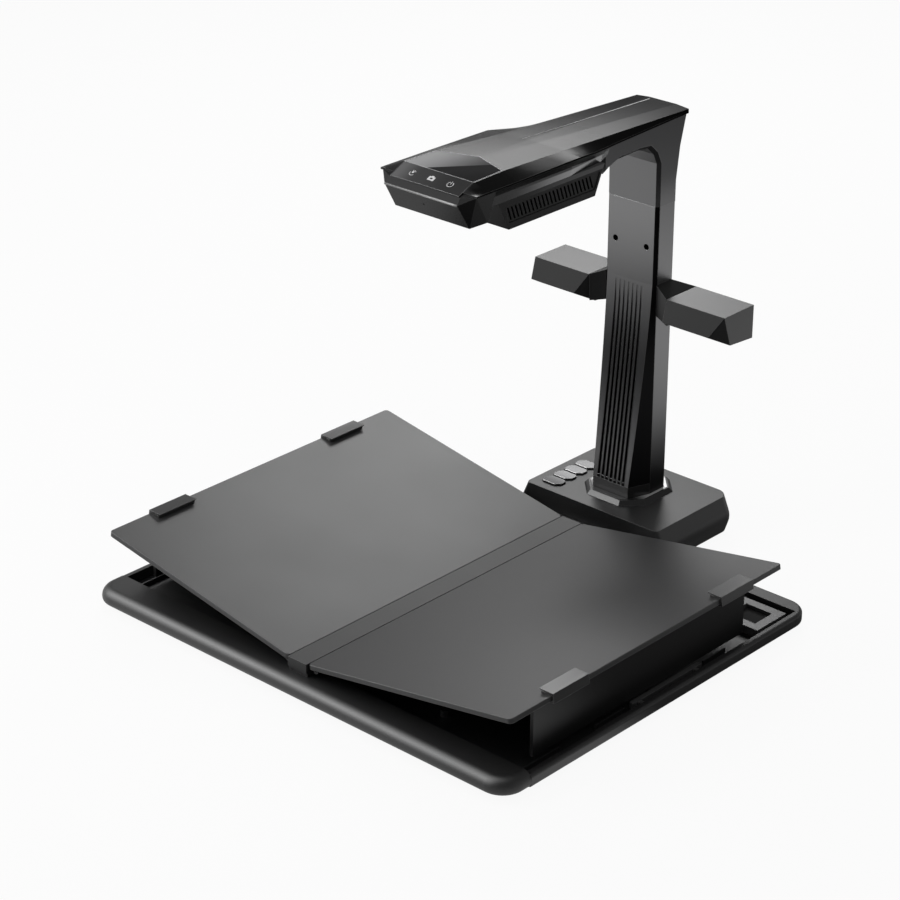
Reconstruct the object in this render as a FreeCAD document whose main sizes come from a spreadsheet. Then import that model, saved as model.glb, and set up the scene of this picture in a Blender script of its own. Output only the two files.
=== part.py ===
"""Book scanner: a tray with two hinged book boards, and a camera arm on a mast behind it.

X runs to the right, Y to the back, Z up, in millimetres. The origin lies on the floor, under the
middle of the outline. Depths named *_front and *_back are measured from the tray's front edge.
"""
import FreeCAD, Part
import math
import os

import Sketcher

SIZES = [
    # tray
    ("tray_width", 444.0), ("tray_depth", 368.5), ("tray_corner", 20.0), ("tray_foot_gap", 3.0),
    ("tray_plate", 2.0), ("tray_floor", 1.5), ("side_rim_width", 6.0), ("side_rim_top", 15.5),
    ("front_roll_depth", 29.0), ("roll_top", 18.5), ("roll_radius", 8.5), ("roll_under_radius", 4.5),
    ("rim_radius", 3.0), ("rim_under_radius", 2.5), ("roll_hollow_height", 9.0), ("rear_rim_depth", 14.5),
    ("notch_depth", 10.0), ("notch_gap", 0.4), ("plate_inset", 9.0), ("tray_foot_radius", 9.0),
    ("tray_foot_inset", 32.0), ("guide_rib_width", 1.2), ("guide_rib_height", 4.0),
    ("rib_front_1", 32.5), ("rib_length_1", 46.0), ("rib_front_2", 119.5), ("rib_length_2", 34.0),
    ("rib_front_3", 248.5), ("rib_length_3", 28.0),
    ("latch_bar_width", 4.0), ("latch_bar_height", 5.5), ("latch_bar_front", 160.1),
    ("latch_bar_length", 82.0), ("latch_tab", 2.6), ("latch_tab_length", 4.0), ("latch_tab_inset", 5.5),
    ("frame_length", 38.0), ("frame_width", 41.0), ("frame_border", 8.0), ("frame_height", 7.0),
    ("frame_inset", 5.3), ("mat_height", 3.5), ("rear_channel", 5.0),
    ("screw_radius", 1.5), ("screw_head", 3.0), ("screw_head_depth", 1.2), ("boss_wall", 2.5),
    ("tray_boss_height", 5.0), ("screw_bite", 3.0), ("tray_screw_side", 110.0),
    ("tray_screw_inset", 60.0), ("fit", 0.05), ("gap", 0.3),
    # book boards and the rail between them
    ("board_margin", 5.36), ("board_rear_gap", 33.76), ("board_front", 14.74), ("board_thickness", 4.0),
    ("board_tilt", 9.8), ("board_corner", 3.5), ("board_edge", 0.6), ("rail_half", 9.94),
    ("rail_top", 29.6), ("rail_wall", 2.2), ("rail_cap", 1.2), ("rail_cap_height", 8.0),
    ("hinge_inset", 4.0), ("hinge_drop", 2.2), ("hinge_barrel", 2.4), ("hinge_pin", 1.2),
    ("ear_radius", 2.0), ("ear_length", 8.0), ("ear_inset", 12.0), ("ear_play", 0.5),
    # prop panels
    ("prop_inset", 12.4), ("prop_drop", 2.8), ("prop_barrel", 2.4), ("prop_pin", 1.2),
    ("prop_thickness", 3.0), ("prop_front", 50.7), ("prop_rear_inset", 34.24), ("prop_foot", 13.3),
    ("prop_ear_length", 8.0),
    # page clips
    ("clip_length", 39.5), ("clip_front", 58.8), ("clip_rear_inset", 40.04), ("clip_wall", 1.6),
    ("clip_jaw", 11.0), ("clip_seat", 9.5), ("clip_lip", 4.5), ("clip_jaw_lift", 2.2), ("clip_play", 0.3),
    # base
    ("base_depth", 99.0), ("base_top", 33.3), ("base_half", 70.9), ("base_bulge", 78.5),
    ("base_bulge_height", 16.0), ("base_foot_half", 73.5), ("base_corner", 11.0), ("base_front_corner", 4.0),
    ("base_bulge_radius", 16.0), ("base_wall", 2.5), ("base_plate", 4.0), ("base_foot_radius", 8.0),
    ("base_foot_gap", 1.5), ("base_foot_inset", 14.0), ("base_boss_inset", 12.0),
    ("base_boss_side", 34.0), ("base_edge", 0.8),
    # the four keys on the base
    ("key_width", 18.9), ("key_depth", 12.0), ("key_pitch", 14.3), ("key_side", 53.0),
    ("key_front", 15.4), ("key_cut", 4.2), ("key_stand", 1.7), ("key_play", 0.25),
    ("key_flange", 1.0), ("key_flange_height", 1.2), ("key_travel", 0.8), ("switch_size", 6.0),
    ("switch_height", 3.0), ("board_sheet", 1.6),
    # mast
    ("mast_half", 26.4), ("mast_front", 43.1), ("mast_back", 66.4), ("mast_chamfer", 2.8),
    ("mast_back_chamfer", 1.3), ("mast_wall", 2.2), ("cover_lip", 0.4), ("seam_height", 294.0),
    ("flare_top", 226.0), ("flare_bottom", 47.1), ("flare_reach", 17.1), ("flare_narrow", 4.7),
    ("flare_shell", 4.6), ("flare_side", 7.0), ("groove_pitch", 4.43), ("groove_width", 2.2),
    ("groove_depth", 2.4), ("groove_border", 3.0), ("mount_hole", 2.6), ("mount_hole_side", 16.1),
    ("mount_hole_height", 257.8), ("collar_half", 33.7), ("collar_middle", 50.6),
    ("collar_reach", 34.6), ("collar_cut", 16.5), ("collar_height", 3.8), ("collar_bevel", 3.4),
    ("ring_inset", 1.2), ("ring_height", 1.0), ("ring_rise", 0.3), ("foot_wall", 2.5),
    ("spine_half", 9.0), ("spine_front", 49.0), ("spine_back", 61.0), ("spine_wall", 1.5),
    ("flange_half", 22.0), ("flange_front", 35.0), ("flange_height", 3.0),
    ("ribbon_half", 6.0), ("ribbon_thickness", 1.2), ("ribbon_gap", 0.3), ("ribbon_bend", 3.5),
    # side lights
    ("light_inner", 41.1), ("light_outer", 99.8), ("light_front", 40.3), ("light_back", 79.2),
    ("light_top", 28.8), ("light_lean", 4.8), ("light_nose_height", 9.9), ("light_chin_front", 49.5),
    ("light_chin_height", 2.3), ("light_bottom", 191.0), ("light_facet", 11.8),
    ("hub_front", 45.2), ("hub_back", 64.5), ("hub_bottom", 9.0), ("hub_top", 35.5),
    ("hub_gap", 0.4), ("light_pin", 3.0), ("light_pin_head", 5.0), ("light_pin_depth", 11.0),
    ("light_pin_height", 17.5), ("light_pin_back", 56.0), ("light_wall", 4.0),
    ("light_pocket_depth", 14.0), ("diffuser_height", 2.0), ("led_height", 1.6),
    # arm and head
    ("arm_back", 78.1), ("arm_half", 26.7), ("hood_rim", 1.5), ("shell_inset", 1.2),
    ("shell_floor", 62.0), ("shell_wall", 3.0),
    ("flank_waist", 0.22), ("flank_height", 0.5), ("frame_half", 15.0), ("frame_lift", 2.6),
    ("frame_plate", 3.0), ("arm_frame_front", 275.1), ("screen_apex", 219.3), ("screen_border", 0.8),
    ("screen_sheet", 1.2), ("panel_sheet", 0.9),
    ("crease_half", 13.0), ("crease_rise", 1.2), ("brow_front", 281.1), ("brow_height", 15.5),
    ("chin_back", 254.1), ("chin_front", 285.2), ("chin_ridge", 9.6), ("chin_toe", 272.6),
    ("chin_floor", 11.3), ("chin_half", 36.6), ("chin_toe_half", 37.5), ("chin_back_half", 38.6),
    ("chin_wall", 3.0), ("pod_half", 37.7), ("pod_front", 241.1), ("pod_back", 118.1),
    ("pod_bottom", 26.1), ("pod_front_slant", 16.5), ("pod_back_slant", 6.0), ("pod_side_slant", 3.8),
    ("pod_wall", 2.5), ("grille_front", 231.7), ("grille_back", 121.6), ("grille_slant", 5.8),
    ("grille_back_slant", 3.5), ("grille_bottom", 20.4),
    ("grille_top", 5.0), ("grille_slot", 1.9), ("grille_border", 2.0), ("grille_corner", 2.5),
    ("grille_sink", 0.6), ("lamp_half", 24.0), ("lamp_front", 215.1), ("lamp_back", 133.1),
    ("lamp_height", 1.5), ("camera_depth", 263.6), ("camera_radius", 5.8), ("camera_reach", 1.2),
    ("lens_radius", 4.2), ("lens_height", 2.0), ("lens_recess", 0.8),
    # sockets in the back of the base
    ("port_half", 36.0), ("port_bottom", 10.0), ("port_height", 13.0), ("port_sheet", 2.0),
    ("dc_side", 25.0), ("dc_bore", 3.2), ("dc_size", 9.0), ("usb_side", 6.0), ("usb_width", 13.4),
    ("usb_height", 6.0), ("usb_b_side", -12.0), ("usb_b_width", 11.6), ("usb_b_height", 9.0),
    ("rocker_side", -27.0), ("rocker_width", 10.0), ("rocker_height", 8.0), ("rocker_depth", 3.6),
    ("rocker_play", 0.7), ("rocker_axle", 1.2), ("rocker_dish", 0.8), ("socket_depth", 10.0),
    ("standoff_height", 3.5), ("main_half", 45.0), ("main_depth", 34.0),
]

# Cross-sections of the arm: distance forward of the elbow's back, half width and height of the
# hood's top edge, half width and height of its wing edge, and half width of the floor of the shell
# below it. Heights are above that floor.
STATIONS = [
    (0.0, 26.7, 12.9, 26.9, 10.8, 26.7),
    (101.1, 28.9, 16.5, 36.5, 12.6, 26.7),
    (116.5, 29.3, 17.1, 38.2, 12.8, 33.0),
    (134.4, 29.6, 17.8, 41.8, 14.2, 35.0),
    (159.1, 30.4, 18.8, 46.9, 17.4, 37.7),
    (232.3, 34.1, 22.4, 48.2, 17.4, 38.5),
    (265.7, 35.6, 22.4, 48.3, 17.4, 38.5),
    (277.1, 35.6, 17.5, 48.3, 17.4, 38.5),
]
STATION_FIELDS = ("depth", "top_half", "top", "wing_half", "wing", "floor_half")
# Side views of the elbow and the chin, as distances forward of the elbow's back and heights above
# the floor of the arm's shell.
PROFILES = {
    "elbow_rear": [(11.7, -44.0), (7.9, -15.8), (1.7, 8.0)],
    "elbow_arch": [(103.3, -16.1), (97.5, -12.9), (85.2, -8.5), (60.7, -7.7), (47.9, -8.9),
                   (40.0, -15.8), (35.5, -25.0)],
    "elbow_core": [(14.2, -44.0), (10.6, -15.8), (6.6, 7.4), (98.1, 7.9), (98.1, -4.0),
                   (60.7, -4.8), (45.1, -6.0), (37.1, -12.5), (31.8, -25.0)],
    "chin_core": [(269.1, -8.1), (257.1, -8.1), (257.1, 16.5), (276.6, 16.5), (281.1, 10.0)],
}
for place, station in enumerate(STATIONS):
    SIZES += [("station_%d_%s" % (place, field), number) for field, number in zip(STATION_FIELDS, station)]
for title, corners in PROFILES.items():
    for place, (depth, height) in enumerate(corners):
        SIZES += [("%s_%d_depth" % (title, place), depth), ("%s_%d_height" % (title, place), height)]

# Where depths and heights are measured from: the datum, 1 for back or up from it or -1 for forward
# or down, and the sizes.
DATUMS = [
    ("base_front", 1, ["key_front", "mast_front", "mast_back", "collar_middle", "spine_front", "spine_back",
                       "flange_front", "light_front", "light_back", "light_chin_front", "hub_front",
                       "hub_back", "light_pin_back", "arm_back"]),
    ("arm_back", -1, ["arm_frame_front", "screen_apex", "brow_front", "chin_back", "chin_front", "chin_toe",
                      "pod_front", "pod_back", "grille_front", "grille_back", "lamp_front", "lamp_back",
                      "camera_depth"]),
    ("light_bottom", 1, ["light_chin_height", "light_nose_height", "light_top", "hub_bottom", "hub_top",
                         "light_pin_height"]),
    ("seam_height", 1, ["shell_floor"]),
    ("shell_floor", 1, ["brow_height", "chin_ridge"]),
    ("shell_floor", -1, ["chin_floor", "pod_bottom", "grille_bottom", "grille_top"]),
]
for place in range(len(STATIONS)):
    DATUMS += [("arm_back", -1, ["station_%d_depth" % place]),
               ("shell_floor", 1, ["station_%d_top" % place, "station_%d_wing" % place])]
for title, corners in PROFILES.items():
    for place in range(len(corners)):
        DATUMS += [("arm_back", -1, ["%s_%d_depth" % (title, place)]),
                   ("shell_floor", 1, ["%s_%d_height" % (title, place)])]

doc = FreeCAD.newDocument("book_scanner")
sheet = doc.addObject("Spreadsheet::Sheet", "sizes")


class Size:
    """A number together with the expression on the sheet that gives it."""

    def __init__(self, value, text):
        self.value = float(value)
        self.text = text

    def __float__(self):
        return self.value

    def __add__(self, other):
        return Size(self.value + float(other), "(%s + %s)" % (self.text, text_of(other)))

    def __radd__(self, other):
        return Size(float(other) + self.value, "(%s + %s)" % (text_of(other), self.text))

    def __sub__(self, other):
        return Size(self.value - float(other), "(%s - %s)" % (self.text, text_of(other)))

    def __rsub__(self, other):
        return Size(float(other) - self.value, "(%s - %s)" % (text_of(other), self.text))

    def __mul__(self, other):
        return Size(self.value * float(other), "(%s * %s)" % (self.text, text_of(other)))

    __rmul__ = __mul__

    def __truediv__(self, other):
        return Size(self.value / float(other), "(%s / %s)" % (self.text, text_of(other)))

    def __neg__(self):
        return Size(-self.value, "(0 - %s)" % self.text)


def text_of(number):
    """The expression text of a size or of a plain number."""
    return number.text if isinstance(number, Size) else "(%.8g)" % number


def sine(angle):
    return Size(math.sin(math.radians(angle)), "sin(%s)" % angle.text)


def cosine(angle):
    return Size(math.cos(math.radians(angle)), "cos(%s)" % angle.text)


class Sheet:
    """The sheet's cells by name."""


size = Sheet()
for row, (alias, number) in enumerate(SIZES, start=1):
    sheet.set("A%d" % row, alias)
    sheet.set("B%d" % row, repr(number))
    sheet.setAlias("B%d" % row, alias)
    setattr(size, alias, Size(number, "sizes." + alias))
doc.recompute()

size.base_front = size.tray_depth - size.notch_depth
for datum, way, aliases in DATUMS:
    for alias in aliases:
        setattr(size, alias, getattr(size, datum) + getattr(size, alias) * way)

DEPTH = size.base_front + size.base_depth
SIDES = (("left", -1), ("right", 1))


def back(depth):
    """The Y of a depth measured from the tray's front edge."""
    return depth - DEPTH / 2


def bind(thing, name, number):
    """Give a property the expression of its size."""
    thing.setExpression(name, text_of(number))


def vector(x, y, z):
    return FreeCAD.Vector(float(x), float(y), float(z))


def put(thing, x, y, z):
    """Place a Part object at a point."""
    bind(thing, "Placement.Base.x", x)
    bind(thing, "Placement.Base.y", y)
    bind(thing, "Placement.Base.z", z)


# ---- Part primitives and booleans


def box(label, x0, x1, y0, y1, z0, z1):
    """A box between its low and high sides."""
    solid = doc.addObject("Part::Box", label)
    solid.Label = label
    bind(solid, "Length", x1 - x0)
    bind(solid, "Width", y1 - y0)
    bind(solid, "Height", z1 - z0)
    put(solid, x0, y0, z0)
    return solid


TURNS = {
    "x": FreeCAD.Rotation(FreeCAD.Vector(0, 1, 0), 90),
    "y": FreeCAD.Rotation(FreeCAD.Vector(1, 0, 0), -90),
    "z": FreeCAD.Rotation(),
}


def rod(label, axis, radius, start, end, u, v):
    """A cylinder along an axis from start to end; u and v are its centre on the other two axes."""
    solid = doc.addObject("Part::Cylinder", label)
    solid.Label = label
    bind(solid, "Radius", radius)
    bind(solid, "Height", end - start)
    solid.Placement = FreeCAD.Placement(FreeCAD.Vector(), TURNS[axis])
    centre = {"x": (start, u, v), "y": (u, start, v), "z": (u, v, start)}[axis]
    put(solid, *centre)
    return solid


def fuse(label, solids):
    whole = doc.addObject("Part::MultiFuse", label)
    whole.Label = label
    whole.Shapes = solids
    whole.Refine = True
    return whole


def group(label, solids):
    """Several separate solids of one kind in one node."""
    whole = doc.addObject("Part::Compound", label)
    whole.Label = label
    whole.Links = solids
    return whole


def cut(label, base, tools):
    """The base with every tool taken away."""
    base.Label = label + "_blank"
    tool = tools[0] if len(tools) == 1 else fuse(label + "_tools", tools)
    whole = doc.addObject("Part::Cut", label)
    whole.Base = base
    whole.Tool = tool
    whole.Label = label
    whole.Refine = True
    return whole


# ---- PartDesign bodies


def new_body(label):
    body = doc.addObject("PartDesign::Body", label)
    body.Label = label
    return body


def plane_of(body, name):
    role = name + "_Plane"
    return next(part for part in body.Origin.OriginFeatures if part.Role == role)


def outline(body, plane, offset, points, circles=()):
    """A closed sketch of straight lines, and circles given as (u, v, radius)."""
    sketch = body.newObject("Sketcher::SketchObject", body.Name + "_sketch")
    sketch.AttachmentSupport = [(plane_of(body, plane), "")]
    sketch.MapMode = "FlatFace"
    bind(sketch, "AttachmentOffset.Base.z", offset)
    corners = [vector(u, v, 0) for u, v in points]
    for i, corner in enumerate(corners):
        sketch.addGeometry(Part.LineSegment(corner, corners[(i + 1) % len(corners)]), False)
    for i in range(len(corners)):
        sketch.addConstraint(Sketcher.Constraint("Coincident", i, 2, (i + 1) % len(corners), 1))
    for i, place in enumerate(points):
        pin_point(sketch, i, 1, place)
    for u, v, radius in circles:
        ring = sketch.addGeometry(Part.Circle(vector(u, v, 0), FreeCAD.Vector(0, 0, 1), float(radius)), False)
        pin_point(sketch, ring, 3, (u, v))
        number = sketch.addConstraint(Sketcher.Constraint("Radius", ring, float(radius)))
        if isinstance(radius, Size):
            sketch.setExpression("Constraints[%d]" % number, radius.text)
    return sketch


def pin_point(sketch, item, end, place):
    """Hold a sketch point at its two distances from the origin."""
    for kind, axis, number in (("DistanceX", -2, place[0]), ("DistanceY", -1, place[1])):
        if not isinstance(number, Size) and number == 0:
            sketch.addConstraint(Sketcher.Constraint("PointOnObject", item, end, axis))
            continue
        held = sketch.addConstraint(Sketcher.Constraint(kind, -1, 1, item, end, float(number)))
        if isinstance(number, Size):
            sketch.setExpression("Constraints[%d]" % held, number.text)


def level(plane, start, end):
    """Where the sketch of an extrusion lies along its plane's normal, so that it runs start to end."""
    return -end if plane == "XZ" else start


def pad(label, plane, points, start, end, circles=()):
    """A body: an outline in XY, XZ or YZ, extruded from start to end along the third axis."""
    body = new_body(label)
    sketch = outline(body, plane, level(plane, start, end), points, circles)
    solid = body.newObject("PartDesign::Pad", label + "_pad")
    solid.Profile = sketch
    bind(solid, "Length", end - start)
    return body


def pocket(body, plane, points, start, end, circles=()):
    """Take an extrusion from start to end out of a body."""
    reach = end if plane != "XZ" else start
    sketch = outline(body, plane, -reach if plane == "XZ" else reach, points, circles)
    hollow = body.newObject("PartDesign::Pocket", body.Label + "_pocket")
    hollow.Profile = sketch
    bind(hollow, "Length", end - start)
    return hollow


def soften(body, kind, amount, chosen):
    """Fillet or chamfer the edges of a body's last feature that the test chooses."""
    doc.recompute()
    last = body.Tip
    names = ["Edge%d" % (i + 1) for i, edge in enumerate(last.Shape.Edges) if chosen(edge)]
    feature = body.newObject("PartDesign::" + kind, body.Label + "_" + kind.lower())
    feature.Base = (last, names)
    bind(feature, "Radius" if kind == "Fillet" else "Size", amount)
    return feature


def edge_test(axis=None, **within):
    """A test for edges along an axis whose middle lies within the ranges given for x, y and z."""
    close = 0.02

    def test(edge):
        middle = edge.CenterOfMass
        if axis:
            run = edge.Vertexes[-1].Point - edge.Vertexes[0].Point
            along = abs(getattr(run, axis))
            if run.Length < close or along < run.Length * 0.999:
                return False
        for name, (low, high) in within.items():
            value = getattr(middle, name)
            if value < float(low) - close or value > float(high) + close:
                return False
        return True

    return test


def loft(label, plane, sections, ruled=True):
    """A body through outlines with equal numbers of corners; each section is (place, points)."""
    body = new_body(label)
    sketches = []
    for place, points in sections:
        sketches.append(outline(body, plane, -place if plane == "XZ" else place, points))
    solid = body.newObject("PartDesign::AdditiveLoft", label + "_loft")
    solid.Profile = sketches[0]
    solid.Sections = sketches[1:]
    solid.Ruled = ruled
    return body


def polyhedron(label, corners, faces):
    """A solid of flat faces; each face lists its corners by name."""
    walls = []
    for face in faces:
        ring = [vector(*corners[name]) for name in face]
        walls.append(Part.Face(Part.makePolygon(ring + ring[:1])))
    shell = Part.Shell(walls)
    shell.sewShape()
    solid = Part.Solid(shell)
    if solid.Volume < 0:
        solid.reverse()
    thing = doc.addObject("Part::Feature", label)
    thing.Label = label
    thing.Shape = solid
    return thing


def rectangle(u0, u1, v0, v1):
    return [(u0, v0), (u1, v0), (u1, v1), (u0, v1)]


def mirrored(points):
    """The right half of an outline, listed from the lower end, with its mirror image."""
    return points + [(-u, v) for u, v in reversed(points)]


def side_range(sign, near, far):
    """The low and high X of a stretch from near to far on one side of the middle."""
    return (near, far) if sign > 0 else (-far, -near)


# ---- where the hinges lie

BOARD_WIDTH = size.tray_width / 2 - size.rail_half - size.gap - size.board_margin
PROP_OFFSET = BOARD_WIDTH - size.prop_inset
BOARD_BACK = size.tray_depth - size.board_rear_gap
BOARD_LENGTH = BOARD_BACK - size.board_front
PROP_LENGTH = BOARD_BACK - size.prop_rear_inset - size.prop_front
CLIP_REAR = BOARD_BACK - size.clip_rear_inset - size.clip_length
EAR_FRONTS = (
    size.board_front + size.ear_inset,
    size.board_front + BOARD_LENGTH / 2 - size.ear_length / 2,
    BOARD_BACK - size.ear_inset - size.ear_length,
)
TILT_SIN = sine(size.board_tilt)
TILT_COS = cosine(size.board_tilt)


def on_board(along, up):
    """X and Z of a point of the right board, from its inner top edge: along its width, and above it."""
    x = size.rail_half + size.gap + along * TILT_COS - up * TILT_SIN
    z = size.rail_top + along * TILT_SIN + up * TILT_COS
    return x, z


HINGE_UP = -(size.board_thickness + size.hinge_drop)
PROP_UP = -(size.board_thickness + size.prop_drop)
HINGE_X, HINGE_Z = on_board(size.hinge_inset, HINGE_UP)
PROP_X, PROP_Z = on_board(PROP_OFFSET, PROP_UP)


# ---- tray

TRAY_BOTTOM = size.tray_foot_gap
SHELL_BOTTOM = TRAY_BOTTOM + size.tray_plate
PAN = SHELL_BOTTOM + size.tray_floor
PAN_HALF = size.tray_width / 2 - size.side_rim_width
PAN_BACK = size.tray_depth - size.rear_rim_depth
SCREW_BORE = size.screw_radius + size.fit
SCREW_SINK = size.screw_head + size.fit
TRAY_SCREWS = [
    (x, y)
    for x in (-size.tray_screw_side, size.tray_screw_side)
    for y in (size.tray_screw_inset, size.tray_depth / 2, size.tray_depth - size.tray_screw_inset)
]
LATCH_LINE = PROP_X + size.prop_thickness / 2 + size.gap * 2
GUIDE_RIBS = [(size.rib_front_1, size.rib_length_1), (size.rib_front_2, size.rib_length_2),
              (size.rib_front_3, size.rib_length_3)]
SCREW_TIP = SHELL_BOTTOM + size.tray_floor + size.screw_bite


def tray_shell():
    half = size.tray_width / 2
    front = back(0)
    rear = back(size.tray_depth)
    slab_front = back(size.front_roll_depth)
    slab = pad("tray_slab", "XY", rectangle(-half, half, slab_front, rear), SHELL_BOTTOM, size.side_rim_top)
    soften(slab, "Fillet", size.tray_corner, edge_test("z", y=(rear, rear)))
    soften(slab, "Fillet", size.rim_radius,
           edge_test(z=(size.side_rim_top, size.side_rim_top), y=(slab_front + size.gap, rear)))
    soften(slab, "Fillet", size.rim_under_radius,
           edge_test(z=(SHELL_BOTTOM, SHELL_BOTTOM), y=(slab_front + size.gap, rear)))
    roll = pad("front_roll", "XY", rectangle(-half, half, front, slab_front), SHELL_BOTTOM, size.roll_top)
    soften(roll, "Fillet", size.tray_corner - size.gap, edge_test("z", y=(front, front)))
    soften(roll, "Fillet", size.roll_radius,
           edge_test(z=(size.roll_top, size.roll_top), y=(front, slab_front - size.gap)))
    soften(roll, "Fillet", size.roll_under_radius,
           edge_test(z=(SHELL_BOTTOM, SHELL_BOTTOM), y=(front, slab_front - size.gap)))
    pan = box("pan", -PAN_HALF, PAN_HALF, slab_front, back(PAN_BACK), PAN, size.side_rim_top + size.gap)
    rim = cut("tray_rim", slab, [pan])
    bosses = [
        rod("tray_boss", "z", size.screw_radius + size.boss_wall, SHELL_BOTTOM, PAN + size.tray_boss_height,
            x, back(y))
        for x, y in TRAY_SCREWS
    ]
    ribs = []
    for front_edge, length in GUIDE_RIBS:
        for _, sign in SIDES:
            x0, x1 = side_range(sign, LATCH_LINE, LATCH_LINE + size.guide_rib_width)
            ribs.append(box("guide_rib", x0, x1, back(front_edge), back(front_edge + length),
                            SHELL_BOTTOM, PAN + size.guide_rib_height))
    whole = fuse("tray_shell_body", [rim, roll] + bosses + ribs)
    notch = size.base_bulge + size.notch_gap
    tools = [
        box("dock_notch", -notch, notch, back(size.tray_depth - size.notch_depth) - size.notch_gap,
            rear + size.gap, TRAY_BOTTOM, size.roll_top + size.gap),
        box("roll_hollow", -half + size.tray_corner, half - size.tray_corner, back(size.roll_radius),
            slab_front - size.side_rim_width / 2, TRAY_BOTTOM, SHELL_BOTTOM + size.roll_hollow_height),
    ]
    tools += [
        rod("tray_bore", "z", SCREW_BORE, TRAY_BOTTOM, SCREW_TIP + size.fit, x, back(y))
        for x, y in TRAY_SCREWS
    ]
    return cut("tray_shell", whole, tools)


def tray_base():
    """The steel sheet under the tray, with its pads and screws."""
    half = size.tray_width / 2 - size.plate_inset
    front = back(size.plate_inset)
    rear = back(size.tray_depth - size.notch_depth) - size.plate_inset
    sheet_body = pad("tray_sheet", "XY", rectangle(-half, half, front, rear), TRAY_BOTTOM, SHELL_BOTTOM,
                     [(x, back(y), SCREW_BORE) for x, y in TRAY_SCREWS])
    soften(sheet_body, "Fillet", size.tray_corner - size.plate_inset,
           edge_test("z", x=(half, half)))
    soften(sheet_body, "Fillet", size.tray_corner - size.plate_inset,
           edge_test("z", x=(-half, -half)))
    sinks = [
        rod("tray_sink", "z", SCREW_SINK, TRAY_BOTTOM, TRAY_BOTTOM + size.screw_head_depth, x, back(y))
        for x, y in TRAY_SCREWS
    ]
    cut("tray_base_plate", sheet_body, sinks)
    pads = [
        rod("tray_pad", "z", size.tray_foot_radius, 0, TRAY_BOTTOM, x, back(y))
        for x in (-size.tray_width / 2 + size.tray_foot_inset, size.tray_width / 2 - size.tray_foot_inset)
        for y in (size.tray_foot_inset, size.tray_depth / 2, size.tray_depth - size.tray_foot_inset)
    ]
    group("tray_feet", pads)
    group("tray_screws", [screw(x, back(y), TRAY_BOTTOM, SCREW_TIP) for x, y in TRAY_SCREWS])


def screw(x, y, bottom, tip):
    """A countersunk-flush screw standing with its head down."""
    head = rod("screw_head", "z", size.screw_head, bottom, bottom + size.screw_head_depth, x, y)
    shank = rod("screw_shank", "z", size.screw_radius, bottom, tip, x, y)
    return fuse("screw", [head, shank])


def latch_bars():
    """A bar beside each prop's foot, with two tabs on its outer side."""
    bars = []
    for _, sign in SIDES:
        x0, x1 = side_range(sign, LATCH_LINE, LATCH_LINE + size.latch_bar_width)
        front = back(size.latch_bar_front)
        rear = front + size.latch_bar_length
        top = PAN + size.latch_bar_height
        pieces = [box("latch_bar", x0, x1, front, rear, PAN, top)]
        t0, t1 = side_range(sign, LATCH_LINE + size.latch_bar_width - size.gap,
                            LATCH_LINE + size.latch_bar_width + size.latch_tab)
        for y in (front + size.latch_tab_inset, rear - size.latch_tab_inset - size.latch_tab_length):
            pieces.append(box("latch_tab", t0, t1, y, y + size.latch_tab_length, PAN, top - size.gap * 3))
        bars.append(fuse("latch", pieces))
    return bars


def corner_frames():
    """A shallow frame in each rear corner of the tray, round a soft mat."""
    frames = []
    mats = []
    outer = PAN_HALF - size.frame_inset
    rear = back(PAN_BACK) - size.rear_channel
    border = size.frame_border
    for _, sign in SIDES:
        x0, x1 = side_range(sign, outer - size.frame_width, outer)
        y0 = rear - size.frame_length
        frame = box("frame", x0, x1, y0, rear, PAN, PAN + size.frame_height)
        window = box("frame_window", x0 + border, x1 - border, y0 + border, rear - border,
                     PAN - size.gap, PAN + size.frame_height + size.gap)
        frames.append(cut("corner_frame_" + ("left" if sign < 0 else "right"), frame, [window]))
        mats.append(box("mat", x0 + border + size.gap, x1 - border - size.gap, y0 + border + size.gap,
                        rear - border - size.gap, PAN, PAN + size.mat_height))
    group("tray_fittings", latch_bars() + frames)
    group("corner_mats", mats)


# ---- rail and hinges

def spine_rail():
    """The channel that stands along the middle of the tray and carries both boards."""
    half = size.rail_half
    front = back(size.board_front)
    step = back(size.front_roll_depth)
    rear = back(BOARD_BACK)
    side = [(step, PAN), (rear, PAN), (rear, size.rail_top), (front, size.rail_top),
            (front, size.roll_top), (step, size.roll_top)]
    rail = pad("rail", "YZ", side, -half, half)
    pieces = [rail]
    tools = [box("rail_hollow", -half + size.rail_wall, half - size.rail_wall, step + size.rail_wall,
                 rear - size.rail_wall, PAN - size.gap, size.rail_top - size.rail_wall)]
    for front_edge in EAR_FRONTS:
        for _, sign in SIDES:
            x0, x1 = side_range(sign, half - size.rail_wall / 2, HINGE_X)
            y0 = back(front_edge)
            pieces.append(box("ear_web", x0, x1, y0, y0 + size.ear_length,
                              HINGE_Z - size.ear_radius, HINGE_Z + size.ear_radius / 2))
            pieces.append(rod("ear", "y", size.ear_radius, y0, y0 + size.ear_length, sign * HINGE_X, HINGE_Z))
    for _, sign in SIDES:
        tools.append(rod("ear_bore", "y", size.hinge_pin + size.fit, front, rear, sign * HINGE_X, HINGE_Z))
    cut("spine_rail", fuse("spine_rail_body", pieces), tools)
    box("spine_end_cap", -half, half, front - size.rail_cap, front, size.rail_top - size.rail_cap_height,
        size.rail_top)
    inset = size.ear_inset - size.ear_play
    group("board_hinge_pins", [
        rod("hinge_pin", "y", size.hinge_pin, front + inset, rear - inset, sign * HINGE_X, HINGE_Z)
        for _, sign in SIDES
    ])


# ---- boards, props and clips


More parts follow.
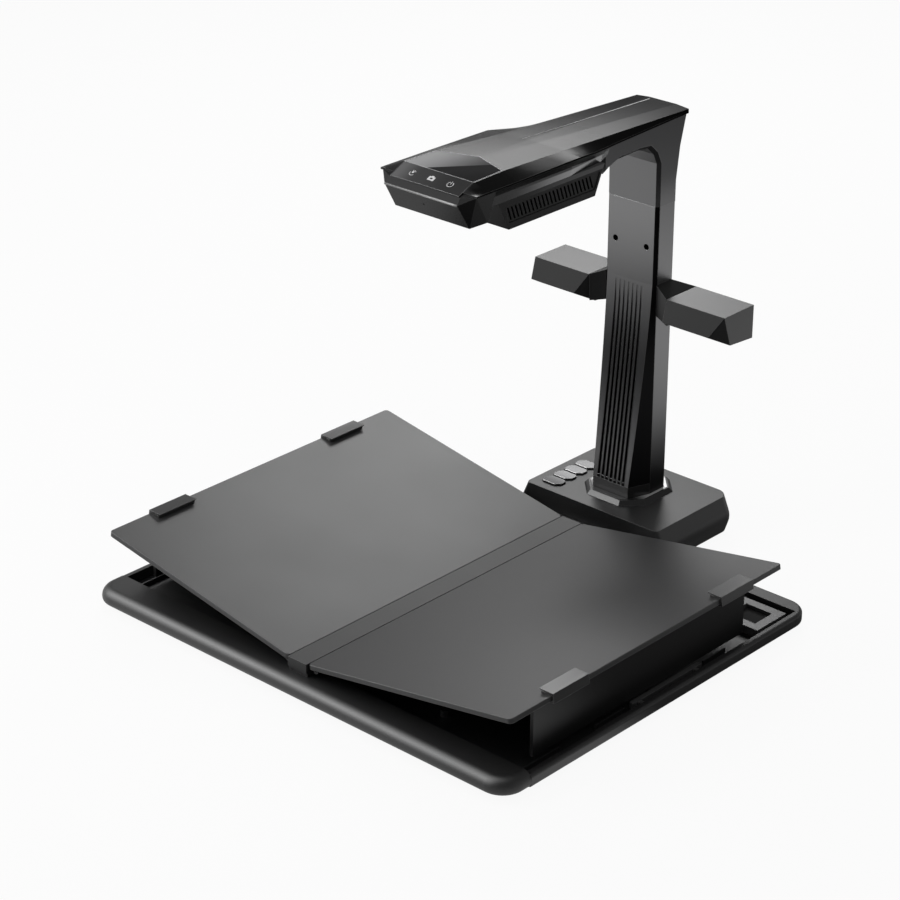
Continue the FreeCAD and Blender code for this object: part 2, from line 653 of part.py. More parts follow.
def tilt_place(thing, sign):
    """Lay a piece modelled flat on its side's board: x from the inner edge, z from the top face."""
    angle = -sign * size.board_tilt
    turn = FreeCAD.Rotation(FreeCAD.Vector(0, 1, 0), float(angle))
    thing.Placement = FreeCAD.Placement(FreeCAD.Vector(), turn)
    bind(thing, "Placement.Rotation.Angle", angle)
    put(thing, sign * (size.rail_half + size.gap), 0, size.rail_top)


def board(name, sign):
    """A book board with the barrels of its hinge and the ears of its prop under it."""
    width = BOARD_WIDTH
    x0, x1 = side_range(sign, 0, width)
    front = back(size.board_front)
    rear = back(BOARD_BACK)
    plate = pad(name + "_plate", "XY", rectangle(x0, x1, front, rear), -size.board_thickness, 0)
    soften(plate, "Fillet", size.board_corner, edge_test("z"))
    soften(plate, "Fillet", size.board_edge, edge_test(z=(0, 0)))
    pieces = [
        plate,
        rod(name + "_barrel", "y", size.hinge_barrel, front + size.board_corner, rear - size.board_corner,
            sign * size.hinge_inset, HINGE_UP),
    ]
    ear = size.prop_ear_length
    prop_front = back(size.prop_front)
    prop_back = prop_front + PROP_LENGTH
    middle = prop_front + PROP_LENGTH / 2
    for y in (prop_front - size.ear_play - ear, middle - ear / 2, prop_back + size.ear_play):
        pieces.append(rod(name + "_ear", "y", size.prop_barrel, y, y + ear, sign * PROP_OFFSET, PROP_UP))
        e0, e1 = side_range(sign, PROP_OFFSET - size.prop_barrel, PROP_OFFSET + size.prop_barrel)
        pieces.append(box(name + "_ear_web", e0, e1, y, y + ear, PROP_UP, -size.board_thickness / 2))
    tools = [
        rod(name + "_hinge_bore", "y", size.hinge_pin + size.fit, front, rear,
            sign * size.hinge_inset, HINGE_UP),
        rod(name + "_prop_bore", "y", size.prop_pin + size.fit, front, rear,
            sign * PROP_OFFSET, PROP_UP),
    ]
    reach = size.hinge_barrel + size.gap
    for front_edge in EAR_FRONTS:
        n0, n1 = side_range(sign, size.hinge_inset - reach, size.hinge_inset + reach)
        y0 = back(front_edge) - size.ear_play
        tools.append(box(name + "_notch", n0, n1, y0, y0 + size.ear_length + size.ear_play * 2,
                         HINGE_UP - reach, -size.board_thickness))
    whole = cut(name + "_board", fuse(name + "_board_body", pieces), tools)
    tilt_place(whole, sign)


def prop(name, sign):
    """The upright panel that holds a board at its slope, with its hinge pin."""
    front = back(size.prop_front)
    rear = front + PROP_LENGTH
    middle = front + PROP_LENGTH / 2
    x = sign * PROP_X
    half = size.prop_thickness / 2
    play = size.prop_ear_length / 2 + size.ear_play
    panel = box(name + "_panel", x - half, x + half, front, rear, size.prop_foot, PROP_Z)
    barrel = rod(name + "_prop_barrel", "y", size.prop_barrel, front, rear, x, PROP_Z)
    reach = size.prop_barrel + size.gap * 2
    tools = [
        rod(name + "_prop_eye", "y", size.prop_pin + size.fit, front - size.gap, rear + size.gap, x, PROP_Z),
        box(name + "_prop_notch", x - reach, x + reach, middle - play, middle + play, PROP_Z - reach,
            PROP_Z + reach),
    ]
    cut(name + "_prop", fuse(name + "_prop_body", [panel, barrel]), tools)
    ends = size.ear_play + size.prop_ear_length
    rod(name + "_prop_pin", "y", size.prop_pin, front - ends, rear + ends, x, PROP_Z)


def clip(label, sign, front_edge):
    """A page clip: a hook round the board's outer edge and a sprung jaw over its seat."""
    wall = size.clip_wall
    play = size.clip_play
    edge = BOARD_WIDTH
    under = -(size.board_thickness + play)
    lift = size.clip_jaw_lift
    jaw = [
        (edge - size.clip_lip, under - wall), (edge + play + wall, under - wall),
        (edge + play + wall, play + wall), (edge - wall, play + wall + wall / 3),
        (edge - size.clip_jaw, play + wall + lift), (edge - size.clip_jaw, play + lift + wall / 2),
        (edge - wall * 3, play + wall), (edge - size.clip_seat, play + wall),
        (edge - size.clip_seat, play), (edge + play, play),
        (edge + play, under), (edge - size.clip_lip, under),
    ]
    points = [(sign * u, v) for u, v in jaw]
    front = back(front_edge)
    hook = pad(label, "XZ", points, front, front + size.clip_length)
    tilt_place(hook, sign)


# ---- base

BASE_FRONT = size.base_front
BASE_BACK = BASE_FRONT + size.base_depth
BASE_BOTTOM = size.base_foot_gap
BASE_CEILING = size.base_top - size.base_wall
BASE_FLOOR = BASE_BOTTOM + size.base_plate
INNER_HALF = size.base_half - size.base_wall * 1.2
BASE_BOSSES = []
for _, sign in SIDES:
    BASE_BOSSES += [
        (sign * size.base_boss_side, BASE_FRONT + size.base_boss_inset + size.base_wall),
        (sign * (INNER_HALF - size.base_boss_inset), BASE_BACK - size.base_boss_inset - size.base_wall),
    ]
KEYS = [size.key_front + size.key_pitch * i for i in range(4)]
KEY_FLANGE_BOTTOM = BASE_CEILING - size.fit - size.key_flange_height
KEY_BOARD_TOP = KEY_FLANGE_BOTTOM - size.key_travel - size.gap - size.switch_height


def key_outline(half_width, half_depth, cut_size, y):
    """A key's plan: a rectangle with its four corners cut."""
    x = -size.key_side
    return [
        (x - half_width, y - half_depth + cut_size / 2), (x - half_width + cut_size / 2, y - half_depth),
        (x + half_width - cut_size, y - half_depth), (x + half_width, y - half_depth + cut_size),
        (x + half_width, y + half_depth - cut_size / 2), (x + half_width - cut_size / 2, y + half_depth),
        (x - half_width + cut_size, y + half_depth), (x - half_width, y + half_depth - cut_size),
    ]


def base_housing():
    side = mirrored([
        (size.base_foot_half, BASE_BOTTOM), (size.base_bulge, size.base_bulge_height),
        (size.base_half, size.base_top),
    ])
    front = back(BASE_FRONT)
    rear = back(BASE_BACK)
    block = pad("base_block", "XZ", side, front, rear)
    soften(block, "Fillet", size.base_bulge_radius,
           edge_test("y", z=(size.base_bulge_height, size.base_bulge_height)))
    for end, radius in ((rear, size.base_corner), (front, size.base_front_corner)):
        soften(block, "Fillet", radius,
               edge_test(y=(end, end), z=(BASE_BOTTOM + size.gap, size.base_top - size.gap)))
    wall = size.base_wall
    hollow = box("base_hollow", -INNER_HALF, INNER_HALF, front + wall, rear - wall,
                 BASE_BOTTOM - size.gap, BASE_CEILING)
    shell = cut("base_shell", block, [hollow])
    posts = [
        rod("base_post", "z", size.screw_radius + size.boss_wall, BASE_FLOOR, BASE_CEILING + wall / 2,
            x, back(y))
        for x, y in BASE_BOSSES
    ]
    for x in (-size.key_side - size.key_width / 2, -size.key_side + size.key_width / 2):
        for y in (KEYS[0] - size.key_depth / 2 - size.gap * 7, KEYS[3] + size.key_depth / 2 + size.gap * 7):
            posts.append(rod("key_post", "z", size.screw_radius, KEY_BOARD_TOP, BASE_CEILING + wall / 2,
                             x, back(y)))
    tools = [
        rod("base_bore", "z", SCREW_BORE, BASE_FLOOR - size.gap, BASE_SCREW_TIP + size.fit, x, back(y))
        for x, y in BASE_BOSSES
    ]
    tools.append(box("mast_opening", -CABLE_HALF, CABLE_HALF, back(size.flange_front),
                     back(RIBBON_BACK) + size.gap,
                     BASE_CEILING - size.gap, size.base_top + size.gap))
    tools.append(box("port_window", -size.port_half, size.port_half, rear - wall - size.gap, rear + size.gap,
                     PORT_BOTTOM, PORT_TOP))
    play = size.key_play
    for y in KEYS:
        points = key_outline(size.key_width / 2 + play, size.key_depth / 2 + play, size.key_cut, back(y))
        tools.append(pad("key_hole", "XY", points, BASE_CEILING - size.gap, size.base_top + size.gap))
    return cut("base_housing", fuse("base_housing_body", [shell] + posts), tools)


BASE_SCREW_TIP = BASE_FLOOR + size.screw_bite * 3
CABLE_HALF = size.spine_half + size.gap * 4
RIBBON_FRONT = size.spine_back + size.ribbon_gap
RIBBON_BACK = RIBBON_FRONT + size.ribbon_thickness
MAIN_BOTTOM = BASE_FLOOR + size.standoff_height
MAIN_TOP = MAIN_BOTTOM + size.board_sheet
PORT_BOTTOM = size.port_bottom
PORT_TOP = size.port_bottom + size.port_height
PORT_MIDDLE = size.port_bottom + size.port_height / 2


def base_inside():
    """The steel floor plate, its pads and screws, and the two circuit boards."""
    gap = size.gap
    front = back(BASE_FRONT) + size.base_wall + gap
    rear = back(BASE_BACK) - size.base_wall - gap
    half = INNER_HALF - gap
    plate = pad("base_sheet", "XY", rectangle(-half, half, front, rear), BASE_BOTTOM, BASE_FLOOR,
                [(x, back(y), SCREW_BORE) for x, y in BASE_BOSSES])
    main_front = RIBBON_FRONT - gap / 2
    main_back = main_front + size.main_depth
    standoffs = [
        rod("standoff", "z", size.screw_radius + size.gap, BASE_FLOOR - gap, MAIN_BOTTOM, x, back(y))
        for x in (-size.main_half + size.boss_wall, size.main_half - size.boss_wall)
        for y in (main_front + size.boss_wall, main_back - size.boss_wall)
    ]
    sinks = [
        rod("base_sink", "z", SCREW_SINK, BASE_BOTTOM, BASE_BOTTOM + size.screw_head_depth, x, back(y))
        for x, y in BASE_BOSSES
    ]
    cut("base_plate", fuse("base_plate_body", [plate] + standoffs), sinks)
    group("base_screws", [screw(x, back(y), BASE_BOTTOM, BASE_SCREW_TIP) for x, y in BASE_BOSSES])
    inset = size.base_foot_inset
    group("base_feet", [
        rod("base_pad", "z", size.base_foot_radius, 0, BASE_BOTTOM, x, back(y))
        for x in (-INNER_HALF + inset * 2, INNER_HALF - inset * 2)
        for y in (BASE_FRONT + inset, BASE_BACK - inset)
    ])
    box("main_board", -size.main_half, size.main_half, back(main_front), back(main_back),
        MAIN_BOTTOM, MAIN_TOP)
    board_half = size.key_width / 2 + size.boss_wall
    sheet_board = box("key_sheet", -size.key_side - board_half, -size.key_side + board_half,
                      back(KEYS[0]) - size.key_depth / 2 - size.boss_wall * 2,
                      back(KEYS[3]) + size.key_depth / 2 + size.boss_wall * 2,
                      KEY_BOARD_TOP - size.board_sheet, KEY_BOARD_TOP)
    reach = size.switch_size / 2
    switches = [
        box("switch", -size.key_side - reach, -size.key_side + reach, back(y) - reach, back(y) + reach,
            KEY_BOARD_TOP, KEY_BOARD_TOP + size.switch_height)
        for y in KEYS
    ]
    group("key_switch_board", [sheet_board] + switches)


def keys():
    """Four push keys in a row, each with a flange under the housing's top."""
    for number, y in enumerate(KEYS, start=1):
        label = "base_key_%d" % number
        centre = back(y)
        top = size.base_top + size.key_stand
        ceiling = BASE_CEILING - size.fit
        cap = pad(label + "_cap", "XY",
                  key_outline(size.key_width / 2, size.key_depth / 2, size.key_cut, centre),
                  ceiling - size.key_flange_height, top)
        soften(cap, "Fillet", size.base_edge / 2, edge_test(z=(top, top)))
        flange = pad(label + "_flange", "XY",
                     key_outline(size.key_width / 2 + size.key_flange, size.key_depth / 2 + size.key_flange,
                                 size.key_cut, centre),
                     ceiling - size.key_flange_height, ceiling)
        fuse(label, [cap, flange])


def rear_ports():
    """The socket panel in the back wall, the sockets behind it and the power rocker."""
    rear = back(BASE_BACK)
    gap = size.gap
    sheet_front = rear - size.port_sheet
    half = size.port_half - size.fit
    panel = box("port_sheet_body", -half, half, sheet_front, rear - gap,
                PORT_BOTTOM + size.fit, PORT_TOP - size.fit)
    play = size.rocker_play
    tools = [
        rod("dc_opening", "y", size.dc_bore, sheet_front - gap, rear, size.dc_side, PORT_MIDDLE),
        box("usb_opening", size.usb_side - size.usb_width / 2, size.usb_side + size.usb_width / 2,
            sheet_front - gap, rear, PORT_MIDDLE - size.usb_height / 2, PORT_MIDDLE + size.usb_height / 2),
        box("usb_b_opening", size.usb_b_side - size.usb_b_width / 2, size.usb_b_side + size.usb_b_width / 2,
            sheet_front - gap, rear, PORT_MIDDLE - size.usb_b_height / 2,
            PORT_MIDDLE + size.usb_b_height / 2),
        box("rocker_opening", size.rocker_side - size.rocker_width / 2 - play,
            size.rocker_side + size.rocker_width / 2 + play, sheet_front - gap, rear,
            PORT_MIDDLE - size.rocker_height / 2 - play, PORT_MIDDLE + size.rocker_height / 2 + play),
    ]
    cut("port_panel", panel, tools)
    socket_front = sheet_front - size.socket_depth
    wall = size.board_sheet
    dc = box("dc_block", size.dc_side - size.dc_size / 2, size.dc_side + size.dc_size / 2, socket_front,
             sheet_front, MAIN_TOP, PORT_MIDDLE + size.dc_size / 2)
    dc = cut("dc_socket", dc, [rod("dc_mouth", "y", size.dc_bore, socket_front + wall, sheet_front + gap,
                                   size.dc_side, PORT_MIDDLE)])
    sockets = [dc]
    for label, x, width, height in (
        ("usb_socket", size.usb_side, size.usb_width, size.usb_height),
        ("usb_b_socket", size.usb_b_side, size.usb_b_width, size.usb_b_height),
    ):
        block = box(label + "_block", x - width / 2 - wall / 2, x + width / 2 + wall / 2, socket_front,
                    sheet_front,
                    MAIN_TOP, PORT_MIDDLE + height / 2 + wall / 2)
        mouth = box(label + "_mouth", x - width / 2, x + width / 2, socket_front + wall, sheet_front + gap,
                    PORT_MIDDLE - height / 2, PORT_MIDDLE + height / 2)
        sockets.append(cut(label, block, [mouth]))
    group("rear_sockets", sockets)
    up = size.rocker_height / 2
    face = rear - size.rocker_dish - size.fit
    left = size.rocker_side - size.rocker_width / 2
    right = size.rocker_side + size.rocker_width / 2
    rocker = pad("rocker_body", "YZ", [
        (face - size.rocker_depth, PORT_MIDDLE - up), (face + size.rocker_dish, PORT_MIDDLE - up),
        (face, PORT_MIDDLE), (face + size.rocker_dish, PORT_MIDDLE + up),
        (face - size.rocker_depth, PORT_MIDDLE + up),
    ], left, right)
    axle = rod("rocker_axle", "x", size.rocker_axle, left - play / 2, right + play / 2,
               face - size.rocker_depth / 2, PORT_MIDDLE)
    fuse("power_rocker", [rocker, axle])


# ---- mast


def octagon(half, reach, corner):
    """The plan of the collar, with its four corners cut."""
    y0 = back(size.collar_middle - reach)
    y1 = back(size.collar_middle + reach)
    return [
        (-half + corner, y0), (half - corner, y0), (half, y0 + corner), (half, y1 - corner),
        (half - corner, y1), (-half + corner, y1), (-half, y1 - corner), (-half, y0 + corner),
    ]


def foot_plan(grow):
    """The mast's outline where it meets the base, grown by a clearance."""
    half = size.mast_half + grow
    toe = size.mast_half - size.mast_chamfer - size.flare_narrow + grow
    front = back(size.mast_front - size.flare_reach) - grow
    rear = back(size.mast_back) + grow
    corner = size.mast_back_chamfer
    edge = back(COVER_BACK) - size.cover_lip
    return [(-toe, front), (toe, front), (half, edge), (half, rear - corner), (half - corner, rear),
            (-half + corner, rear), (-half, rear - corner), (-half, edge)]


COVER_BACK = size.mast_front + size.mast_chamfer + size.cover_lip
COLLAR_TOP = size.base_top + size.collar_height


def collar():
    bevel = size.collar_bevel
    skirt = loft("collar_skirt", "XY", [
        (size.base_top, octagon(size.collar_half, size.collar_reach, size.collar_cut)),
        (COLLAR_TOP, octagon(size.collar_half - bevel, size.collar_reach - bevel,
                             size.collar_cut - bevel * 0.59)),
    ])
    inset = bevel + size.ring_inset
    corner = size.collar_cut - inset * 0.59
    seat = COLLAR_TOP - size.ring_height + size.ring_rise
    well = pad("collar_well", "XY", octagon(size.collar_half - inset, size.collar_reach - inset, corner),
               seat, COLLAR_TOP + size.gap)
    opening = pad("collar_opening", "XY", foot_plan(size.gap),
                  size.base_top - size.gap, COLLAR_TOP + size.gap)
    cut("mast_collar", skirt, [well, opening])
    inset = inset + size.fit
    ring = pad("ring_blank", "XY", octagon(size.collar_half - inset, size.collar_reach - inset, corner),
               seat, seat + size.ring_height)
    hole = pad("ring_opening", "XY", foot_plan(size.gap), seat - size.gap, seat + size.ring_height + size.gap)
    cut("collar_ring", ring, [hole])


def mast_foot():
    """The plinth under the ribbed front of the mast."""
    plan = foot_plan(0)
    lip = back(COVER_BACK)
    front_part = plan[:3] + [(plan[2][0], lip), (plan[7][0], lip), plan[7]]
    block = pad("foot_block", "XY", front_part, size.base_top, size.flare_bottom)
    wall = size.foot_wall
    toe = size.mast_half - size.mast_chamfer - size.flare_narrow - wall
    hollow = box("foot_hollow", -toe, toe, back(size.mast_front - size.flare_reach) + wall,
                 back(COVER_BACK) + size.gap, size.base_top - size.gap, size.flare_bottom + size.gap)
    cut("mast_foot", block, [hollow])


def flare(share):
    """Half width and front depth of the mast's face where it has flared by a share of its full reach."""
    half = size.mast_half - size.mast_chamfer - size.flare_narrow * share
    return half, size.mast_front - size.flare_reach * share


FLARE_STEPS = [i / 8 for i in range(9)]
FLARE_CURVE = 1.3


def flare_height(step):
    return size.flare_top - (size.flare_top - size.flare_bottom) * step


def mast_front_cover():
    """The mast's front shell: plain above, flaring into a grooved panel towards its foot."""
    lip = back(COVER_BACK)
    edge = lip - size.cover_lip

    def plan(share):
        half, front = flare(share)
        return [(-size.mast_half, lip), (-size.mast_half, edge), (-half, back(front)), (half, back(front)),
                (size.mast_half, edge), (size.mast_half, lip)]

    sections = [(size.seam_height, plan(0))]
    sections += [(flare_height(step), plan(step ** FLARE_CURVE)) for step in FLARE_STEPS]
    cover = loft("mast_front_cover", "XY", sections)
    inner = size.flare_shell
    _, toe = flare(1)
    hollow_half = size.mast_half - size.flare_side - size.flare_narrow
    pocket(cover, "YZ", [
        (lip, size.flare_bottom), (back(toe) + inner, size.flare_bottom),
        (back(flare(0.5 ** FLARE_CURVE)[1]) + inner, flare_height(0.5)), (lip, flare_height(0.36)),
    ], -hollow_half, hollow_half)
    first = -size.groove_pitch * 3
    bottom = size.flare_bottom + size.groove_border
    far = back(toe) - size.flare_reach
    floor = [(back(toe) + size.groove_depth, bottom)]
    floor += [
        (back(flare(step ** FLARE_CURVE)[1]) + size.groove_depth * (0.2 + 0.8 * min(1, 2 * step)),
         flare_height(step))
        for step in reversed(FLARE_STEPS[1:-1])
    ]
    floor += [(back(size.mast_front), size.flare_top - size.groove_border)]
    grooves = pocket(cover, "YZ", [(far, bottom)] + floor + [(far, size.flare_top - size.groove_border)],
                     first - size.groove_width / 2, first + size.groove_width / 2)
    row = cover.newObject("PartDesign::LinearPattern", "groove_row")
    row.Originals = [grooves]
    row.Direction = (next(part for part in cover.Origin.OriginFeatures if part.Role == "X_Axis"), [""])
    bind(row, "Length", size.groove_pitch * 6)
    row.Occurrences = 7
    cover.Tip = row
    hole = size.mount_hole
    pocket(cover, "XZ", [], back(size.mast_front) - size.gap, lip + size.gap,
           [(side * size.mount_hole_side, size.mount_hole_height, hole) for side in (-1, 1)])


def mast_rear_shell():
    half = size.mast_half
    wall = size.mast_wall
    front = back(COVER_BACK)
    rear = back(size.mast_back)
    cut_size = size.mast_back_chamfer
    channel = [
        (-half, front), (-half + wall, front), (-half + wall, rear - wall), (half - wall, rear - wall),
        (half - wall, front), (half, front), (half, rear - cut_size), (half - cut_size, rear),
        (-half + cut_size, rear), (-half, rear - cut_size),
    ]
    shell = pad("rear_channel", "XY", channel, size.base_top, size.seam_height)
    bores = [
        rod("mast_pin_bore", "x", size.light_pin + size.fit, *side_range(sign, half - wall - size.gap,
                                                                         half + size.gap),
            back(size.light_pin_back), size.light_pin_height)
        for _, sign in SIDES
    ]
    cut("mast_rear_shell", shell, bores)


FRAME_BOTTOM = size.shell_floor + size.frame_lift
FRAME_TOP = FRAME_BOTTOM + size.frame_plate


def mast_inside():
    """The steel tube in the mast, the arm's frame plate on it, and the ribbon cable along both."""
    half = size.spine_half
    wall = size.spine_wall
    front = back(size.spine_front)
    rear = back(size.spine_back)
    tube = box("spine_tube", -half, half, front, rear, BASE_FLOOR, FRAME_BOTTOM)
    flange = box("spine_flange", -size.flange_half, size.flange_half, back(size.flange_front), rear,
                 BASE_FLOOR,
                 BASE_FLOOR + size.flange_height)
    bore = box("spine_bore", -half + wall, half - wall, front + wall, rear - wall, BASE_FLOOR - size.gap,
               FRAME_BOTTOM + size.gap)
    cut("mast_spine", fuse("mast_spine_body", [tube, flange]), [bore])
    box("arm_frame", -size.frame_half, size.frame_half, back(size.arm_frame_front),
        rear - size.ribbon_bend - size.gap, FRAME_BOTTOM, FRAME_TOP)
    inner = back(RIBBON_FRONT)
    outer = back(RIBBON_BACK)
    low = FRAME_TOP + size.fit
    high = low + size.ribbon_thickness
    end = back(size.camera_depth)
    ribbon = pad("ribbon_cable", "YZ", [(inner, MAIN_TOP), (outer, MAIN_TOP), (outer, high), (end, high),
                                        (end, low),
                                        (inner, low)], -size.ribbon_half, size.ribbon_half)
    soften(ribbon, "Fillet", size.ribbon_bend, edge_test("x", y=(inner, inner), z=(low, low)))
    soften(ribbon, "Fillet", size.ribbon_bend + size.ribbon_thickness,
           edge_test("x", y=(outer, outer), z=(high, high)))


# ---- side lights


def side_light(name, sign):
    """A light bar on a round pivot at the mast's side; both bars are the same piece, faceted at +X."""
    inner = size.light_inner
    outer = size.light_outer
    nose_y = size.light_front - size.light_lean
    profile = {
        "top": (size.light_front, size.light_top), "nose": (nose_y, size.light_nose_height),
        "chin": (size.light_chin_front, size.light_chin_height), "heel": (size.light_back, size.light_bottom),
        "back": (size.light_back, size.light_top),
    }
    corners = {}
    for end, x in zip(("low", "high"), side_range(sign, inner, outer)):
        for point, (y, z) in profile.items():
            faceted = point == "nose" and end == "high"
            corners[point + "_" + end] = (x - size.light_facet if faceted else x, back(y), z)
    ring = ("top", "nose", "chin", "heel", "back")
    faces = [(a + "_low", a + "_high", b + "_high", b + "_low") for a, b in zip(ring, ring[1:] + ring[:1])]
    faces.append([point + "_low" for point in ring])
    faces.append(("top_high", "nose_high", "chin_high"))
    faces.append(("top_high", "chin_high", "heel_high", "back_high"))
    solid = polyhedron(name + "_light_solid", corners, faces)
    pin_y = back(size.light_pin_back)
    pin_z = size.light_pin_height
    wall = size.light_wall
    p0, p1 = side_range(sign, inner + size.light_pin_depth + wall, outer - wall)
    y0 = back(size.light_chin_front) + wall / 2
    y1 = back(size.light_back) - wall
    roof = size.light_chin_height + size.light_pocket_depth
    tools = [
        box(name + "_light_pocket", p0, p1, y0, y1, size.light_bottom - size.gap, roof),
        rod(name + "_light_bore", "x", size.light_pin + size.fit,
            *side_range(sign, inner - size.gap, inner + size.light_pin_depth), pin_y, pin_z),
    ]
    cut(name + "_light_housing", solid, tools)
    box(name + "_light_diffuser", p0, p1, y0, y1,
        size.light_chin_height, size.light_chin_height + size.diffuser_height)
    box(name + "_light_leds", p0 + wall, p1 - wall, y0 + wall, y1 - wall, roof - size.led_height, roof)
    light_hub(name, sign)


def light_hub(name, sign):
    """The fixed black block between the mast and a light bar."""
    near = size.mast_half
    far = size.light_inner - size.hub_gap
    hub = loft(name + "_hub_solid", "YZ", [
        (sign * near, rectangle(back(size.hub_front), back(size.hub_back), size.hub_bottom, size.hub_top)),
        (sign * far, [(back(size.light_chin_front) - size.light_wall * 2,
                       size.light_nose_height - size.light_lean),
                      (back(size.light_back), size.light_bottom), (back(size.light_back), size.light_top),
                      (back(size.light_front), size.light_top)]),
    ])
    bore = rod(name + "_hub_bore", "x", size.light_pin + size.fit,
               *side_range(sign, near - size.gap, size.light_inner), back(size.light_pin_back),
               size.light_pin_height)
    cut(name + "_light_hub", hub, [bore])


def light_pins():
    """The steel pins that carry the light bars, with their heads inside the mast."""
    pins = []
    inside = size.mast_half - size.mast_wall
    for _, sign in SIDES:
        y = back(size.light_pin_back)
        z = size.light_pin_height
        shank = rod("pin_shank", "x", size.light_pin,
                    *side_range(sign, inside, size.light_inner + size.light_pin_depth - size.gap), y, z)
        head = rod("pin_head", "x", size.light_pin_head, *side_range(sign, inside - size.spine_wall,
                                                                     inside), y, z)
        pins.append(fuse("pin", [shank, head]))
    group("light_pivot_pins", pins)


# ---- arm and head


def station(place):
    """The sizes of one cross-section of the arm."""
    return [getattr(size, "station_%d_%s" % (place, field)) for field in STATION_FIELDS]


def profile(title):
    """The points of a side view as Y and Z."""
    return [
        (back(getattr(size, "%s_%d_depth" % (title, place))), getattr(size, "%s_%d_height" % (title, place)))
        for place in range(len(PROFILES[title]))
    ]


HOOD_FLOOR = size.station_6_wing - size.hood_rim
SCREEN_TOP = size.station_6_top
SCREEN_SEAT = SCREEN_TOP - size.screen_sheet


def hood_section(place):
    """One cross-section of the hood: wing edges, top edges and the raised middle strip."""
    depth, top_half, top, wing_half, wing, _ = station(place)
    length = float(size.station_0_depth - size.screen_apex)
    along = max(0.0, (float(depth) - float(size.screen_apex)) / length)
    strip = size.crease_half * (along + 0.08)
    return back(depth), mirrored([
        (wing_half, wing - size.hood_rim), (wing_half, wing), (top_half, top),
        (strip, top + size.crease_rise * min(1.0, along + 0.05)),
    ])


def screen_plan(inset):
    """The display seen from above: wide in front, drawn to a shallow point at the back."""
    wide = size.station_6_top_half - inset
    narrow = size.station_5_top_half - inset
    front = back(size.station_6_depth)
    rear = back(size.station_5_depth)
    apex = back(size.screen_apex) - inset
    return [(-wide, front), (wide, front), (narrow, rear), (0, apex), (-narrow, rear)]


def panel_profile(low, high):
    """Side view of a sheet on the sloping brow, from low to high above the touch panel's seat."""
    y0 = back(size.brow_front)
    y1 = back(size.station_6_depth)
    z0 = size.brow_height - size.panel_sheet
    z1 = SCREEN_TOP - size.panel_sheet
    return [(y0, z0 + low), (y1, z1 + low), (y1, z1 + high), (y0, z0 + high)]


def arm_hood():
    """The arm's top cover, with the display and the touch panel let into its front."""
    hood = loft("hood_solid", "XZ", [hood_section(place) for place in range(len(STATIONS))])
    over = size.crease_rise * 3
    border = size.screen_border
    half = size.station_6_top_half - border
    tools = [
        pad("screen_recess", "XY", screen_plan(border), SCREEN_SEAT, SCREEN_TOP + over),
        pad("panel_shelf", "YZ", panel_profile(0, over), -half, half),
    ]
    cut("arm_hood", hood, tools)
    pad("display_glass", "XY", screen_plan(border + size.fit), SCREEN_SEAT, SCREEN_TOP)
    pad("touch_panel", "YZ", panel_profile(0, size.panel_sheet), -half + size.fit, half - size.fit)


def lower_section(place, depth=None):
    """One cross-section of the shell under the hood: its floor, its hollow flanks and its top."""
    at, _, _, wing_half, wing, floor_half = station(place)
    top = wing - size.hood_rim
    top_half = wing_half - size.shell_inset
    waist = floor_half + (top_half - floor_half) * size.flank_waist
    middle = size.shell_floor + (top - size.shell_floor) * size.flank_height
    ring = [(floor_half, size.shell_floor), (waist, middle), (top_half, top)]
    return back(depth if depth else at), mirrored(ring)


def arm_lower_shell():
    """The arm's underside between the wings and the lamp pod."""
    sections = [lower_section(place) for place in (1, 2, 3, 4, 5)]
    sections.append(lower_section(5, size.chin_back))
    solid = loft("lower_solid", "XZ", sections)
    wide = size.frame_half + size.gap
    front = back(size.chin_back) - size.gap
    hole = size.frame_half - size.shell_wall
    tools = [
        box("lower_throat", -wide, wide, front, back(size.station_1_depth) + size.gap, FRAME_BOTTOM,
            FRAME_TOP + size.ribbon_thickness + size.gap * 3),
        box("lamp_opening", -hole, hole, back(size.lamp_front), back(size.lamp_back),
            size.shell_floor - size.gap,
            FRAME_BOTTOM + size.gap),
    ]
    cut("arm_lower_shell", solid, tools)


def elbow_shell():
    """The bend between the mast and the arm, hollow round the steel tube and the cable."""
    half = size.arm_half
    seam = size.seam_height
    rear = profile("elbow_rear")
    arch = profile("elbow_arch")
    top_back = size.station_0_wing - size.hood_rim
    top_front = size.station_1_wing - size.hood_rim
    front = back(size.station_1_depth)
    side = [(back(size.mast_front), seam), (back(size.mast_back), seam)] + rear
    side += [(rear[-1][0] + size.gap * 2, top_back), (front, top_front), (front, size.shell_floor),
             (arch[0][0], size.shell_floor)]
    side += arch
    elbow = pad("elbow_solid", "YZ", side, -half, half)
    arch_back = back(size.mast_front)
    arch_zone = {"y": (back(size.elbow_arch_0_depth) + size.gap, arch_back),
                 "z": (seam, size.elbow_arch_3_height)}
    for x in (-half, half):
        soften(elbow, "Chamfer", size.mast_chamfer, edge_test(x=(x, x), **arch_zone))
        soften(elbow, "Chamfer", size.mast_back_chamfer,
               edge_test(x=(x, x), y=(back(size.mast_back), rear[-1][0] + size.gap * 2)))
    core = profile("elbow_core")
    inner = half - size.mast_wall - size.gap
    pocket(elbow, "YZ", [(back(COVER_BACK), seam), (back(size.mast_back) - size.mast_wall, seam)] + core,
           -inner, inner)
    wide = size.frame_half + size.gap
    gate = box("frame_gate", -wide, wide, arch[0][0] - size.gap, core[3][0] + size.gap,
               FRAME_BOTTOM - size.gap,
               FRAME_TOP + size.ribbon_thickness + size.gap * 2)
    cut("elbow_shell", elbow, [gate])


